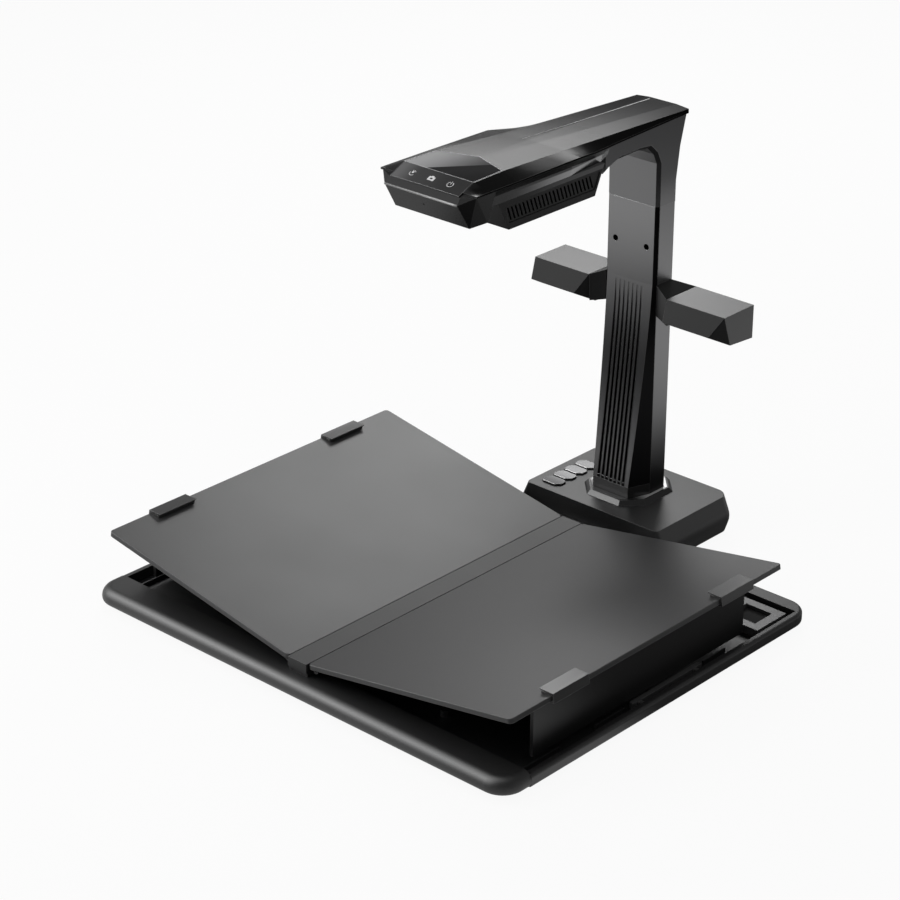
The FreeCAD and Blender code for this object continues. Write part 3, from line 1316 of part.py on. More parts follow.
def tapered_box(label, inset, low, high):
    """The lamp pod's form, inset on its four sides, between two heights."""

    def plan(z):
        share = (z - size.pod_bottom) / (size.shell_floor - size.pod_bottom)
        half = size.pod_half - size.pod_side_slant * (1 - share) - inset
        front = back(size.pod_front) + size.pod_front_slant * (1 - share) + inset
        rear = back(size.pod_back) - size.pod_back_slant * (1 - share) - inset
        return rectangle(-half, half, front, rear)

    return loft(label, "XY", [(low, plan(low)), (high, plan(high))])


GRILLE_SLOTS = 23


def lamp_pod():
    """The lamp housing under the arm, with a slatted window in each side."""
    wall = size.pod_wall
    pod = tapered_box("pod_solid", 0, size.pod_bottom, size.shell_floor)
    tools = [tapered_box("pod_hollow", wall, size.pod_bottom + wall, size.shell_floor - wall)]
    lean = math.degrees(math.atan2(float(size.pod_side_slant), float(size.shell_floor - size.pod_bottom)))
    low = size.grille_bottom - size.pod_bottom
    high = size.grille_top - size.pod_bottom
    first = back(size.grille_front)
    last = back(size.grille_back)
    window = [(first, high), (last, high), (last - size.grille_back_slant, low),
              (first + size.grille_slant, low)]
    border = size.grille_border
    top, bottom = first + border, first + border + size.grille_slant
    slot = [(top, high - border), (top + size.grille_slot, high - border),
            (bottom + size.grille_slot, low + border), (bottom, low + border)]
    for name, sign in SIDES:
        x0, x1 = side_range(sign, -size.grille_sink, size.gap)
        sink = pad(name + "_window", "YZ", window, x0, x1)
        soften(sink, "Fillet", size.grille_corner, edge_test("x"))
        x0, x1 = side_range(sign, -wall - size.gap * 2, size.gap)
        slots = pad(name + "_slots", "YZ", slot, x0, x1)
        row = slots.newObject("PartDesign::LinearPattern", name + "_slot_row")
        row.Originals = [slots.Tip]
        row.Direction = (next(part for part in slots.Origin.OriginFeatures if part.Role == "Y_Axis"), [""])
        bind(row, "Length", last - size.grille_back_slant - border - size.grille_slot - bottom)
        row.Occurrences = GRILLE_SLOTS
        slots.Tip = row
        for tool in (sink, slots):
            tool.Placement = FreeCAD.Placement(
                FreeCAD.Vector(), FreeCAD.Rotation(FreeCAD.Vector(0, 1, 0), sign * lean))
            put(tool, sign * (size.pod_half - size.pod_side_slant), 0, size.pod_bottom)
            tools.append(tool)
    lamp = rectangle(-size.lamp_half, size.lamp_half, back(size.lamp_front), back(size.lamp_back))
    seat = size.pod_bottom + size.lamp_height
    lip = size.gap * 5
    tools += [
        box("lamp_seat", -size.lamp_half - size.fit, size.lamp_half + size.fit,
            back(size.lamp_front) - size.fit,
            back(size.lamp_back) + size.fit, size.pod_bottom - size.gap, seat),
        box("lamp_mouth", -size.lamp_half + lip, size.lamp_half - lip, back(size.lamp_front) + lip,
            back(size.lamp_back) - lip, seat - size.gap, size.pod_bottom + wall + size.gap),
    ]
    cut("lamp_pod", pod, tools)
    lens = pad("pod_lamp_lens", "XY", lamp, size.pod_bottom, seat)
    soften(lens, "Chamfer", size.gap, edge_test(z=(size.pod_bottom, size.pod_bottom)))


def head_front():
    """The faceted front of the head, with the camera looking down through its floor."""
    brow = back(size.brow_front)
    slope = (SCREEN_TOP - size.brow_height) / (size.station_6_depth - size.brow_front)
    shelf = size.brow_height - size.panel_sheet
    run = (HOOD_FLOOR - shelf) / slope
    top_half = size.station_6_top_half
    wing = size.station_6_wing_half - size.shell_inset
    tip = back(size.station_7_depth) + size.shell_inset
    rear = back(size.chin_back)
    right = {
        "brow": (top_half, brow, shelf), "shelf": (top_half, brow + run, HOOD_FLOOR),
        "ridge": (size.chin_half, back(size.chin_front), size.chin_ridge),
        "toe": (size.chin_toe_half, back(size.chin_toe), size.chin_floor),
        "heel": (size.chin_back_half, rear, size.chin_floor),
        "wing": (wing, tip, HOOD_FLOOR), "tail": (wing, rear, HOOD_FLOOR),
    }
    corners = {}
    for name, (x, y, z) in right.items():
        corners[name + "_r"] = (x, y, z)
        corners[name + "_l"] = (-x, y, z)
    bands = ("shelf", "brow", "ridge", "toe", "heel", "tail")
    faces = [(a + "_l", a + "_r", b + "_r", b + "_l") for a, b in zip(bands, bands[1:])]
    faces.append(("shelf_l", "wing_l", "tail_l", "tail_r", "wing_r", "shelf_r"))
    for side in ("_l", "_r"):
        faces += [(a + side, b + side, "wing" + side) for a, b in zip(bands, bands[1:])]
    solid = polyhedron("chin_solid", corners, faces)
    wide = size.frame_half + size.gap
    core = size.chin_half - size.chin_wall * 2
    axis = back(size.camera_depth)
    tools = [
        pad("chin_hollow", "YZ", profile("chin_core"), -core, core),
        box("chin_gate", -wide, wide, back(size.chin_core_1_depth) - size.gap, rear + size.gap,
            FRAME_BOTTOM - size.gap,
            FRAME_TOP + size.ribbon_thickness + size.gap * 3),
        rod("camera_bore", "z", size.camera_radius + size.fit, size.chin_floor - size.gap,
            size.chin_core_0_height + size.gap, 0, axis),
    ]
    cut("head_front_shell", solid, tools)
    bottom = size.chin_floor - size.camera_reach
    under = FRAME_BOTTOM - size.board_sheet
    barrel = rod("camera_tube", "z", size.camera_radius, bottom, under, 0, axis)
    well = rod("camera_well", "z", size.lens_radius + size.fit, bottom - size.gap,
               bottom + size.lens_recess + size.lens_height, 0, axis)
    cut("camera_barrel", barrel, [well])
    rod("camera_lens", "z", size.lens_radius, bottom + size.lens_recess,
        bottom + size.lens_recess + size.lens_height, 0, axis)
    side = size.camera_radius + size.gap * 2
    box("camera_board", -side, side, axis - side, axis + side, under, FRAME_BOTTOM)


# ---- all pieces

tray_shell()
tray_base()
corner_frames()
spine_rail()
for name, sign in SIDES:
    board(name, sign)
    prop(name, sign)
    clip(name + "_front_clip", sign, size.clip_front)
    clip(name + "_rear_clip", sign, CLIP_REAR)
base_housing()
base_inside()
keys()
rear_ports()
collar()
mast_foot()
mast_front_cover()
mast_rear_shell()
mast_inside()
for name, sign in SIDES:
    side_light(name, sign)
light_pins()
elbow_shell()
arm_hood()
arm_lower_shell()
lamp_pod()
head_front()

NODES = [
    "tray_shell", "tray_base_plate", "tray_feet", "tray_screws", "tray_fittings", "corner_mats",
    "spine_rail", "spine_end_cap", "board_hinge_pins", "left_board", "right_board", "left_prop", "right_prop",
    "left_prop_pin", "right_prop_pin", "left_front_clip", "left_rear_clip", "right_front_clip",
    "right_rear_clip", "base_housing", "base_plate", "base_feet", "base_screws", "main_board",
    "key_switch_board", "base_key_1", "base_key_2", "base_key_3", "base_key_4", "rear_sockets", "port_panel",
    "power_rocker", "mast_collar", "collar_ring", "mast_foot", "mast_front_cover", "mast_rear_shell",
    "mast_spine", "arm_frame", "ribbon_cable", "left_light_hub", "right_light_hub", "light_pivot_pins",
    "left_light_housing", "right_light_housing", "left_light_diffuser", "right_light_diffuser",
    "left_light_leds", "right_light_leds", "elbow_shell", "arm_hood", "arm_lower_shell", "display_glass",
    "touch_panel", "lamp_pod", "pod_lamp_lens", "head_front_shell",
    "camera_barrel", "camera_lens", "camera_board",
]

doc.recompute()
for thing in doc.Objects:
    if "Invalid" in thing.State or "Error" in thing.State:
        raise ValueError("%s: %s" % (thing.Label, thing.State))
os.makedirs("parts", exist_ok=True)
for node in NODES:
    thing = doc.getObjectsByLabel(node)[0]
    if thing.Shape.isNull() or not thing.Shape.isValid() or not thing.Shape.Solids:
        raise ValueError("no sound shape for " + node)
    thing.Shape.exportStep("parts/%s.step" % node)
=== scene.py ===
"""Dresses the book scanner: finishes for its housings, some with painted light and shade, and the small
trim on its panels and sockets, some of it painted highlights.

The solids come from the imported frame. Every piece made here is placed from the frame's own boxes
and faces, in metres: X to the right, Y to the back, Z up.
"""
import math

import bmesh
import bpy
from bpy.props import FloatProperty, FloatVectorProperty, IntProperty, PointerProperty
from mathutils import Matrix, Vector


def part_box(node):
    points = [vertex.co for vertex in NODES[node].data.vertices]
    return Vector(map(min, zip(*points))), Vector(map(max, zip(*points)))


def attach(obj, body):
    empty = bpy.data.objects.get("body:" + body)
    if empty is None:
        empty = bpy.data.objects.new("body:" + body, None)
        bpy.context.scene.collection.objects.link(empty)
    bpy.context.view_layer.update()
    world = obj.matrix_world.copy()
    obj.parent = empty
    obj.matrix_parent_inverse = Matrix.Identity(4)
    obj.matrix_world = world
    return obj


bl_info = {
    "name": "Book scanner dressing",
    "version": (1, 0, 0),
    "blender": (4, 5, 0),
    "location": "View3D > Sidebar > Scanner",
    "description": "Finishes and small trim for a book scanner with hinged boards and a camera arm",
    "category": "Object",
}

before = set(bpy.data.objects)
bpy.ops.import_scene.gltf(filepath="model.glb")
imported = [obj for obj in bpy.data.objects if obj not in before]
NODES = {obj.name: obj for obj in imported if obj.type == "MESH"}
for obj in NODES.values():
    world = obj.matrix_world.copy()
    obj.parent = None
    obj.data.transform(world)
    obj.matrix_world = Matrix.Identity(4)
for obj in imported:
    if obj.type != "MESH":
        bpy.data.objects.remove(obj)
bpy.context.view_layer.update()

PANEL_FACING = (0, -0.41, 0.91)  # the touch panel's slope
GROOVE_TOP, GROOVE_FADE = 0.198, 0.025  # where the painted shade beside the mast's grooves begins, and its fade
REFLECTED_LINE, REFLECTED_LEAN = 0.0344, -0.835  # a straight edge mirrored in the display glass, where its painted reflection turns dark, and its lean
INLET_X, USB_A_X, USB_B_X = 0.025, 0.006, -0.012  # places along the port panel
SOCKET_BACK, SOCKET_FRONT = 0.0098, 0.0020  # depths of the tongues' ends behind the panel's face
PIN_DEPTHS, PIN_RADIUS = (0.0099, 0.004, 0.0034), 0.001
LINER_GAP = 0.006  # between the pod's liner and the pod's front and back
CREASE_GAP, CREASE_END = 0.004, 0.42  # from the hood's rear edge, to this share of its length
CREASE_STEPS, CREASE_TAPER, CREASE_THICK = 24, 0.85, 0.00008
MARK_LIFT, MARK_THICK = 0.00001, 0.00004  # how far the rocker's marks lie off it, and their thickness
MIX_FIRST, MIX_SECOND, MIX_COLOUR = 6, 7, 2  # a colour mix node's sockets
WEAR_AND_HIGHLIGHT_GAIN, WEAR_AND_HIGHLIGHT_LIFT = 2.2, 0.02  # how much lighter than its surface an edge is: part wear, part painted highlight


def low(node):
    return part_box(node)[0]


def high(node):
    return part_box(node)[1]


# ---- settings

def grey(level, blue=None):
    """A grey, with its own level of blue where it is given."""
    return (level, level, level if blue is None else blue)


def colour(name, description, shade):
    return FloatVectorProperty(name=name, description=description, subtype="COLOR", size=3,
                               min=0.0, max=1.0, default=shade)


def length(name, description, metres, least=0.0):
    return FloatProperty(name=name, description=description, subtype="DISTANCE", unit="LENGTH",
                         min=least, default=metres)


class ScannerColours(bpy.types.PropertyGroup):
    mast: colour("Mast", "Dark metallic grey of the mast", grey(0.180, 0.182))
    elbow: colour("Elbow", "Dark metallic grey of the elbow", grey(0.165, 0.167))
    arm: colour("Arm", "Dark grey of the arm's hood", grey(0.020, 0.0205))
    base: colour("Base", "Dark grey of the base housing", grey(0.036, 0.0365))
    board: colour("Boards", "Dark grey of the book boards and clips", grey(0.034, 0.0345))
    rail: colour("Rail", "Dark grey of the middle rail", grey(0.012, 0.0122))
    tray: colour("Tray", "Black of the tray and its rolled front", grey(0.008, 0.0083))
    black: colour("Black plastic", "Props, hubs, lamp pod and port panel", grey(0.005, 0.0052))
    gloss: colour("Gloss trim", "Lower shell, head front and collar", grey(0.010, 0.0102))
    silver: colour("Silver trim", "Latch bars and corner frames", grey(0.10, 0.101))
    light_top: colour("Light bars", "Dark grey of the light bar housings", grey(0.028, 0.0285))
    diffuser: colour("Diffusers", "Frosted white of lenses and the collar ring", grey(0.80, 0.78))
    icon: colour("Icons", "Near white of the printed touch icons", grey(0.85, 0.86))
    floor: colour("Floor", "Pale floor under the scanner", grey(0.80))


class ScannerSizes(bpy.types.PropertyGroup):
    icon_size: length("Icon size", "Width of a touch icon", 0.0062)
    icon_side: length("Icon spacing", "Distance from the middle icon to the outer ones", 0.0190)
    icon_line: length("Icon line", "Thickness of an icon's line", 0.0006)
    bead: length("Bead", "Radius of the bright bead round the glass sheets", 0.00022)
    crease_width: length("Crease width", "Width of the hood's crease line at its rear end", 0.0009)
    crease_side: length("Crease place", "Place of the crease across the hood, from its middle", -0.010, -0.05)
    ridge: length("Ridge", "Radius of the bright ridge along the head's front", 0.0009)
    microphone: length("Microphone", "Radius of the microphone hole in the head", 0.0006)
    microphone_side: length("Microphone place", "Place of the hole across the head, from its middle", -0.002, -0.05)
    liner: length("Pod liner", "Thickness of the dark sheet behind the lamp pod's slots", 0.0010)
    contact: length("Contact", "Width of a gold contact in a socket", 0.0012)
    contacts: IntProperty(name="Contacts", description="Contacts in the flat socket", min=1, default=4)
    mark_line: length("Mark line", "Line width of the marks on the power rocker", 0.0005)


def colours():
    return bpy.context.scene.scanner_colours


def sizes():
    return bpy.context.scene.scanner_sizes


# ---- shader groups

def group(name, inputs, outputs):
    """A shader group with float inputs and outputs. Returns it, and its inner sockets."""
    made = bpy.data.node_groups.new(name, "ShaderNodeTree")
    for title, value in inputs:
        socket = made.interface.new_socket(title, in_out="INPUT", socket_type="NodeSocketFloat")
        socket.default_value = value
    for title in outputs:
        made.interface.new_socket(title, in_out="OUTPUT", socket_type="NodeSocketFloat")
    return made, made.nodes.new("NodeGroupInput").outputs, made.nodes.new("NodeGroupOutput").inputs


def add(tree, kind, **settings):
    node = tree.nodes.new(kind)
    for key, value in settings.items():
        if key in node.inputs:
            node.inputs[key].default_value = value
        else:
            setattr(node, key, value)
    return node


def feed(tree, value, socket):
    """Link one socket into another, or set it to a plain value."""
    if isinstance(value, bpy.types.NodeSocket):
        tree.links.new(value, socket)
    else:
        socket.default_value = value


def maths(tree, operation, first, second=None, clamp=False):
    """A maths node; each operand is a socket or a number. Returns its output."""
    node = add(tree, "ShaderNodeMath", operation=operation, use_clamp=clamp)
    for place, value in enumerate((first, second)):
        if value is not None:
            feed(tree, value, node.inputs[place])
    return node.outputs[0]


def share_of(tree, value, start, end):
    """How far a value lies from start to end, held between 0 and 1."""
    reach = maths(tree, "SUBTRACT", end, start)
    return maths(tree, "DIVIDE", maths(tree, "SUBTRACT", value, start), reach, clamp=True)


def coordinates(tree, kind="Object"):
    """The X, Y and Z of a point in the object's own metres, or of its normal."""
    own = add(tree, "ShaderNodeTexCoord")
    split = add(tree, "ShaderNodeSeparateXYZ")
    feed(tree, own.outputs[kind], split.inputs[0])
    return split.outputs


def noise(tree, vector, scale, **settings):
    """A noise texture at a point, with a socket as its scale. Returns its value."""
    node = add(tree, "ShaderNodeTexNoise", **settings)
    feed(tree, vector, node.inputs["Vector"])
    feed(tree, scale, node.inputs["Scale"])
    return node.outputs["Fac"]


def build_grain():
    """Fine moulded grain: small dimples, with softer waves under them."""
    made, entry, out = group("moulded_grain", [("Scale", 900.0), ("Waviness", 0.3)], ["Height"])
    place = add(made, "ShaderNodeTexCoord").outputs["Object"]
    dimples = noise(made, place, entry["Scale"], Detail=3.0, Roughness=0.6)
    wave = noise(made, place, maths(made, "MULTIPLY", entry["Scale"], 0.06), Detail=1.0)
    waves = maths(made, "MULTIPLY", wave, entry["Waviness"])
    feed(made, maths(made, "ADD", dimples, waves), out["Height"])
    return made


def build_edge():
    """A mask that is 1 along outer edges, within the given radius."""
    made, entry, out = group("edge_mask", [("Radius", 0.0006), ("Gain", 6.0)], ["Edge"])
    bevel = add(made, "ShaderNodeBevel", samples=4)
    flat = add(made, "ShaderNodeNewGeometry")
    feed(made, entry["Radius"], bevel.inputs["Radius"])
    dot = add(made, "ShaderNodeVectorMath", operation="DOT_PRODUCT")
    feed(made, bevel.outputs["Normal"], dot.inputs[0])
    feed(made, flat.outputs["Normal"], dot.inputs[1])
    away = maths(made, "SUBTRACT", 1.0, dot.outputs["Value"])
    feed(made, maths(made, "MULTIPLY", away, entry["Gain"], clamp=True), out["Edge"])
    return made


def build_smudge():
    """Large soft clouds, as handling leaves on a satin surface."""
    made, entry, out = group("handling", [("Scale", 14.0), ("Amount", 0.06)], ["Shift"])
    place = add(made, "ShaderNodeTexCoord").outputs["Object"]
    clouds = noise(made, place, entry["Scale"], Detail=5.0, Roughness=0.55)
    centred = maths(made, "SUBTRACT", clouds, 0.5)
    feed(made, maths(made, "MULTIPLY", centred, entry["Amount"]), out["Shift"])
    return made


def build_brushing():
    """Long fine scratches along X, as a brushed or drawn metal has."""
    made, entry, out = group("brushing", [("Scale", 1500.0), ("Stretch", 0.03)], ["Height"])
    own = coordinates(made)
    join = add(made, "ShaderNodeCombineXYZ")
    feed(made, maths(made, "MULTIPLY", own["X"], entry["Stretch"]), join.inputs["X"])
    feed(made, own["Y"], join.inputs["Y"])
    feed(made, own["Z"], join.inputs["Z"])
    feed(made, noise(made, join.outputs[0], entry["Scale"], Detail=2.0), out["Height"])
    return made


def build_along():
    """How far a point lies along a direction: 0 at Start, 1 at End, in the object's own metres."""
    made, entry, out = group("along", [("X", 0.0), ("Y", 0.0), ("Z", 1.0), ("Start", 0.0), ("End", 1.0)],
                             ["Share"])
    own = add(made, "ShaderNodeTexCoord")
    heading = add(made, "ShaderNodeCombineXYZ")
    for axis in "XYZ":
        feed(made, entry[axis], heading.inputs[axis])
    dot = add(made, "ShaderNodeVectorMath", operation="DOT_PRODUCT")
    feed(made, own.outputs["Object"], dot.inputs[0])
    feed(made, heading.outputs[0], dot.inputs[1])
    share = share_of(made, dot.outputs["Value"], entry["Start"], entry["End"])
    smooth = maths(made, "MULTIPLY", maths(made, "MULTIPLY", share, share),
                   maths(made, "SUBTRACT", 3.0, maths(made, "MULTIPLY", share, 2.0)))
    feed(made, smooth, out["Share"])
    return made


def build_sideways():
    """A mask for faces that look to the right: 0 at Start, 1 at End, as the tilt's sine. Both: to the left too."""
    made, entry, out = group("sideways", [("Start", 0.1), ("End", 0.2), ("Both", 1.0)], ["Side"])
    right = coordinates(made, "Normal")["X"]
    leftward = maths(made, "MAXIMUM", maths(made, "MULTIPLY", right, -1.0), 0.0)
    tilt = maths(made, "ADD", right, maths(made, "MULTIPLY", maths(made, "MULTIPLY", leftward, 2.0),
                                           entry["Both"]))
    feed(made, share_of(made, tilt, entry["Start"], entry["End"]), out["Side"])
    return made


def build_ribbing():
    """Soft painted shade beside a row of grooves at an even pitch in X: 1 in a groove, 0 along a rib's crown."""
    made, entry, out = group("ribbing", [("Pitch", 0.00443), ("Start", 0.0011), ("End", 0.0020),
                                         ("Half", 0.0156), ("Top", 0.2), ("Fade", 0.03)], ["Shade"])
    own = coordinates(made)
    turn = maths(made, "ADD", maths(made, "DIVIDE", own["X"], entry["Pitch"]), 0.5)
    from_groove = maths(made, "ABSOLUTE", maths(made, "SUBTRACT", maths(made, "FRACT", turn), 0.5))
    away = maths(made, "MULTIPLY", from_groove, entry["Pitch"])
    crown = share_of(made, away, entry["Start"], entry["End"])
    inside = maths(made, "LESS_THAN", maths(made, "ABSOLUTE", own["X"]), entry["Half"])
    under = maths(made, "DIVIDE", maths(made, "SUBTRACT", entry["Top"], own["Z"]),
                  entry["Fade"], clamp=True)
    beside = maths(made, "MULTIPLY", maths(made, "SUBTRACT", 1.0, crown), inside)
    feed(made, maths(made, "MULTIPLY", beside, under), out["Shade"])
    return made


BUILDERS = {"moulded_grain": build_grain, "edge_mask": build_edge, "handling": build_smudge,
            "brushing": build_brushing, "along": build_along, "sideways": build_sideways,
            "ribbing": build_ribbing}


def use(tree, name, values):
    """Place one of the shared groups in a material, with its own values. Returns its output."""
    made = bpy.data.node_groups.get(name) or BUILDERS[name]()
    node = tree.nodes.new("ShaderNodeGroup")
    node.node_tree = made
    for key, value in values.items():
        node.inputs[key].default_value = value
    return node.outputs[0]


# ---- masks, for painted light and shade and for the coat: each is a shared group and its values

def rising(start, end):
    return "along", {"Start": start, "End": end}


def rightward(start, end):
    return "along", {"X": 1.0, "Z": 0.0, "Start": start, "End": end}


def backward(start, end):
    return "along", {"Y": 1.0, "Z": 0.0, "Start": start, "End": end}


def slanting(x, y, start, end):
    return "along", {"X": x, "Y": y, "Z": 0.0, "Start": start, "End": end}


def facing(start, end, both=1.0):
    return "sideways", {"Start": start, "End": end, "Both": both}


# ---- finishes

def blank(name):
    """A new material, its tree and its shader; or an earlier finish of that name alone."""
    old = bpy.data.materials.get(name)
    if old:
        if not (old.node_tree and any(node.type == "GROUP" for node in old.node_tree.nodes)):
            raise RuntimeError("%s is one of the frame's plain materials" % name)
        return old, None, None
    made = bpy.data.materials.new(name)
    made.use_nodes = True
    return made, made.node_tree, made.node_tree.nodes["Principled BSDF"]


def mix(tree, share, first, second):
    """Turn one colour towards another by a share that is a socket. Returns the colour's socket."""
    node = add(tree, "ShaderNodeMix", data_type="RGBA")
    feed(tree, share, node.inputs[0])
    for place, value in ((MIX_FIRST, first), (MIX_SECOND, second)):
        feed(tree, value if isinstance(value, bpy.types.NodeSocket) else (*value, 1.0), node.inputs[place])
    return node.outputs[MIX_COLOUR]


def finish(name, shade, roughness, grain=900.0, depth=0.00002, edge=0.0, edge_shade=None, edge_radius=0.0006,
           round_radius=0.0004, cloud=0.06, metallic=0.0, coat=0.0, coat_roughness=0.1, specular=0.5,
           texture="moulded_grain", blends=(), coat_masks=()):
    """A satin or glossy solid finish: grain, rounded edges, lighter edges (part wear, part painted highlight) and
    soft handling marks.

    Each of blends paints light or shade into the colour, turning it towards another one: (group, its values,
    colour). Each of coat_masks leaves a share of the coat: (group, its values, share).
    """
    made, tree, shader = blank(name)
    if tree is None:
        return made
    shade = tuple(shade)
    base = shade
    for maker, values, other in blends:
        base = mix(tree, use(tree, maker, values), base, other)
    left = coat
    for maker, values, share in coat_masks:
        cut = maths(tree, "MULTIPLY", use(tree, maker, values), 1.0 - share)
        kept = maths(tree, "SUBTRACT", 1.0, cut)
        left = maths(tree, "MULTIPLY", kept, left)
    feed(tree, left, shader.inputs["Coat Weight"])
    shader.inputs["Metallic"].default_value = metallic
    shader.inputs["Coat Roughness"].default_value = coat_roughness
    shader.inputs["Specular IOR Level"].default_value = specular
    bevel = add(tree, "ShaderNodeBevel", samples=4, Radius=round_radius)
    bump = add(tree, "ShaderNodeBump", Strength=0.6, Distance=depth)
    feed(tree, use(tree, texture, {"Scale": grain}), bump.inputs["Height"])
    feed(tree, bevel.outputs["Normal"], bump.inputs["Normal"])
    feed(tree, bump.outputs["Normal"], shader.inputs["Normal"])
    handling = use(tree, "handling", {"Amount": cloud})
    feed(tree, maths(tree, "ADD", handling, roughness, clamp=True), shader.inputs["Roughness"])
    # lighter edges: part wear, part a painted highlight along the rounded edges
    wear_and_highlight = use(tree, "edge_mask", {"Radius": edge_radius})
    lighter = edge_shade or tuple(min(1.0, level * WEAR_AND_HIGHLIGHT_GAIN + WEAR_AND_HIGHLIGHT_LIFT) for level in shade)
    surface = mix(tree, maths(tree, "MULTIPLY", wear_and_highlight, edge), base, lighter)
    tone = add(tree, "ShaderNodeHueSaturation")
    feed(tree, maths(tree, "ADD", maths(tree, "MULTIPLY", handling, 0.8), 1.0), tone.inputs["Value"])
    feed(tree, surface, tone.inputs["Color"])
    feed(tree, tone.outputs["Color"], shader.inputs["Base Color"])
    made.diffuse_color = (*shade, 1.0)
    return made


def icon_ink():
    return finish("icon_ink", colours().icon, 0.45, grain=3500, depth=0.000002, cloud=0.02)


def dress(material, *nodes):
    """Give CAD nodes a finish on every one of their slots."""
    for name in nodes:
        for slot in NODES[name].material_slots:
            slot.material = material


# ---- mesh helpers

def piece(name, bm, material, body, smooth=False):
    """Turn a finished shape into a piece that rides on a body."""
    made = bpy.data.objects.new(name, mesh_of(name, bm, smooth))
    bpy.context.scene.collection.objects.link(made)
    made.data.materials.append(material)
    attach(made, body)


def mesh_of(name, bm, smooth):
    bmesh.ops.remove_doubles(bm, verts=bm.verts, dist=1e-7)
    bmesh.ops.recalc_face_normals(bm, faces=bm.faces)
    mesh = bpy.data.meshes.new(name)
    bm.to_mesh(mesh)
    bm.free()
    for face in mesh.polygons:
        face.use_smooth = smooth
    return mesh


def skirt(bm, one, two):
    """The faces between two loops with the same number of points."""
    for place in range(len(one)):
        follow = (place + 1) % len(one)
        bm.faces.new((one[place], one[follow], two[follow], two[place]))


def tube(bm, points, radius, sides=8, closed=False, taper=None):
    """A round bead along a line of points that doesn't run straight up."""
    count = len(points)
    rings = []
    for place, point in enumerate(points):
        before = points[(place - 1) % count] if closed or place else points[0]
        after = points[(place + 1) % count] if closed or place < count - 1 else points[-1]
        along = (Vector(after) - Vector(before)).normalized()
        across = along.cross(Vector((0, 0, 1))).normalized()
        up = across.cross(along)
        size = radius * (taper(place / max(1, count - 1)) if taper else 1.0)
        ring = []
        for side in range(sides):
            angle = 2 * math.pi * side / sides
            ring.append(bm.verts.new(Vector(point) + (across * math.cos(angle) + up * math.sin(angle)) * size))
        rings.append(ring)
    pairs = list(zip(rings, rings[1:])) + ([(rings[-1], rings[0])] if closed else [])
    for one, two in pairs:
        skirt(bm, one, two)
    if not closed:
        bm.faces.new(rings[0])
        bm.faces.new(rings[-1])


def on_top(node, x, y):
    """The height of a CAD node's upper surface over a point."""
    mesh = NODES[node].data
    best = None
    for face in mesh.polygons:
        if face.normal.z < 0.5:
            continue
        n, c = face.normal, face.center
        z = c.z - (n.x * (x - c.x) + n.y * (y - c.y)) / n.z
        corners = [mesh.vertices[v].co for v in face.vertices]
        turns = [(b.x - a.x) * (y - a.y) - (b.y - a.y) * (x - a.x)
                 for a, b in zip(corners, corners[1:] + corners[:1])]
        if all(t >= -1e-10 for t in turns) or all(t <= 1e-10 for t in turns):
            best = z if best is None else max(best, z)
    if best is None:
        raise RuntimeError("%s has nothing over %.4f, %.4f" % (node, x, y))
    return best


def ribbon(bm, points, width, thickness):
    """A thin flat line along points, lying level across X, with its own width at each share of its length."""
    rows = []
    for place, (x, y, z) in enumerate(points):
        half = width(place / (len(points) - 1)) / 2
        rows.append([bm.verts.new((x + dx, y, z + dz)) for dx, dz in
                     ((-half, -thickness), (half, -thickness), (half, thickness), (-half, thickness))])
    for one, two in zip(rows, rows[1:]):
        skirt(bm, one, two)
    bm.faces.new(rows[0])
    bm.faces.new(rows[-1])


class Plane:
    """A flat place on a CAD node: its middle and three axes, for laying thin marks on it."""

    def __init__(self, node, facing, across):
        mesh = NODES[node].data
        facing = Vector(facing).normalized()
        flats = [f for f in mesh.polygons if f.normal.dot(facing) > 0.995]
        if not flats:
            raise RuntimeError("no face of %s looks that way" % node)
        area = sum(f.area for f in flats)
        self.middle = sum((f.center * f.area for f in flats), Vector()) / area
        self.normal = sum((f.normal * f.area for f in flats), Vector()).normalized()
        self.right = (Vector(across) - self.normal * self.normal.dot(Vector(across))).normalized()
        self.up = self.normal.cross(self.right)
        self.corners = {tuple(round(c, 6) for c in mesh.vertices[v].co) for f in flats for v in f.vertices}

    def at(self, u, v, lift=0.0):
        return self.middle + self.right * u + self.up * v + self.normal * lift


def raised(bm, plane, outline, lift, thickness):
    """A thin raised shape on a plane, from an outline in its own two axes."""
    base = [bm.verts.new(plane.at(u, v, lift)) for u, v in outline]
    top = [bm.verts.new(plane.at(u, v, lift + thickness)) for u, v in outline]
    bm.faces.new(base)
    bm.faces.new(top)
    skirt(bm, base, top)


def arc_band(bm, plane, centre, radius, width, start, end, lift, thickness, steps=28):
    """A thin band along an arc, with square ends."""
    turns = [math.radians(start + (end - start) * step / steps) for step in range(steps + 1)]
    points = [(math.cos(turn), math.sin(turn)) for turn in turns]
    for one, two in zip(points, points[1:]):
        quad = [(centre[0] + p[0] * r, centre[1] + p[1] * r)
                for p, r in ((one, radius - width / 2), (one, radius + width / 2),
                             (two, radius + width / 2), (two, radius - width / 2))]
        raised(bm, plane, quad, lift, thickness)


def circle(centre, radius, degrees):
    """The outline of a circle, with a point every so many degrees."""
    turns = [math.radians(turn) for turn in range(0, 360, degrees)]
    return [(centre[0] + radius * math.cos(turn), centre[1] + radius * math.sin(turn)) for turn in turns]


def rounded(across, up, radius, steps=5):
    """The outline of a rectangle with round corners about the middle, from its half width and half height."""
    points = []
    for quarter, (side, end) in enumerate(((1, 1), (-1, 1), (-1, -1), (1, -1))):
        for step in range(steps + 1):
            angle = math.radians(90 * (quarter + step / steps))
            points.append((side * (across - radius) + radius * math.cos(angle),
                           end * (up - radius) + radius * math.sin(angle)))
    return points


# ---- operators

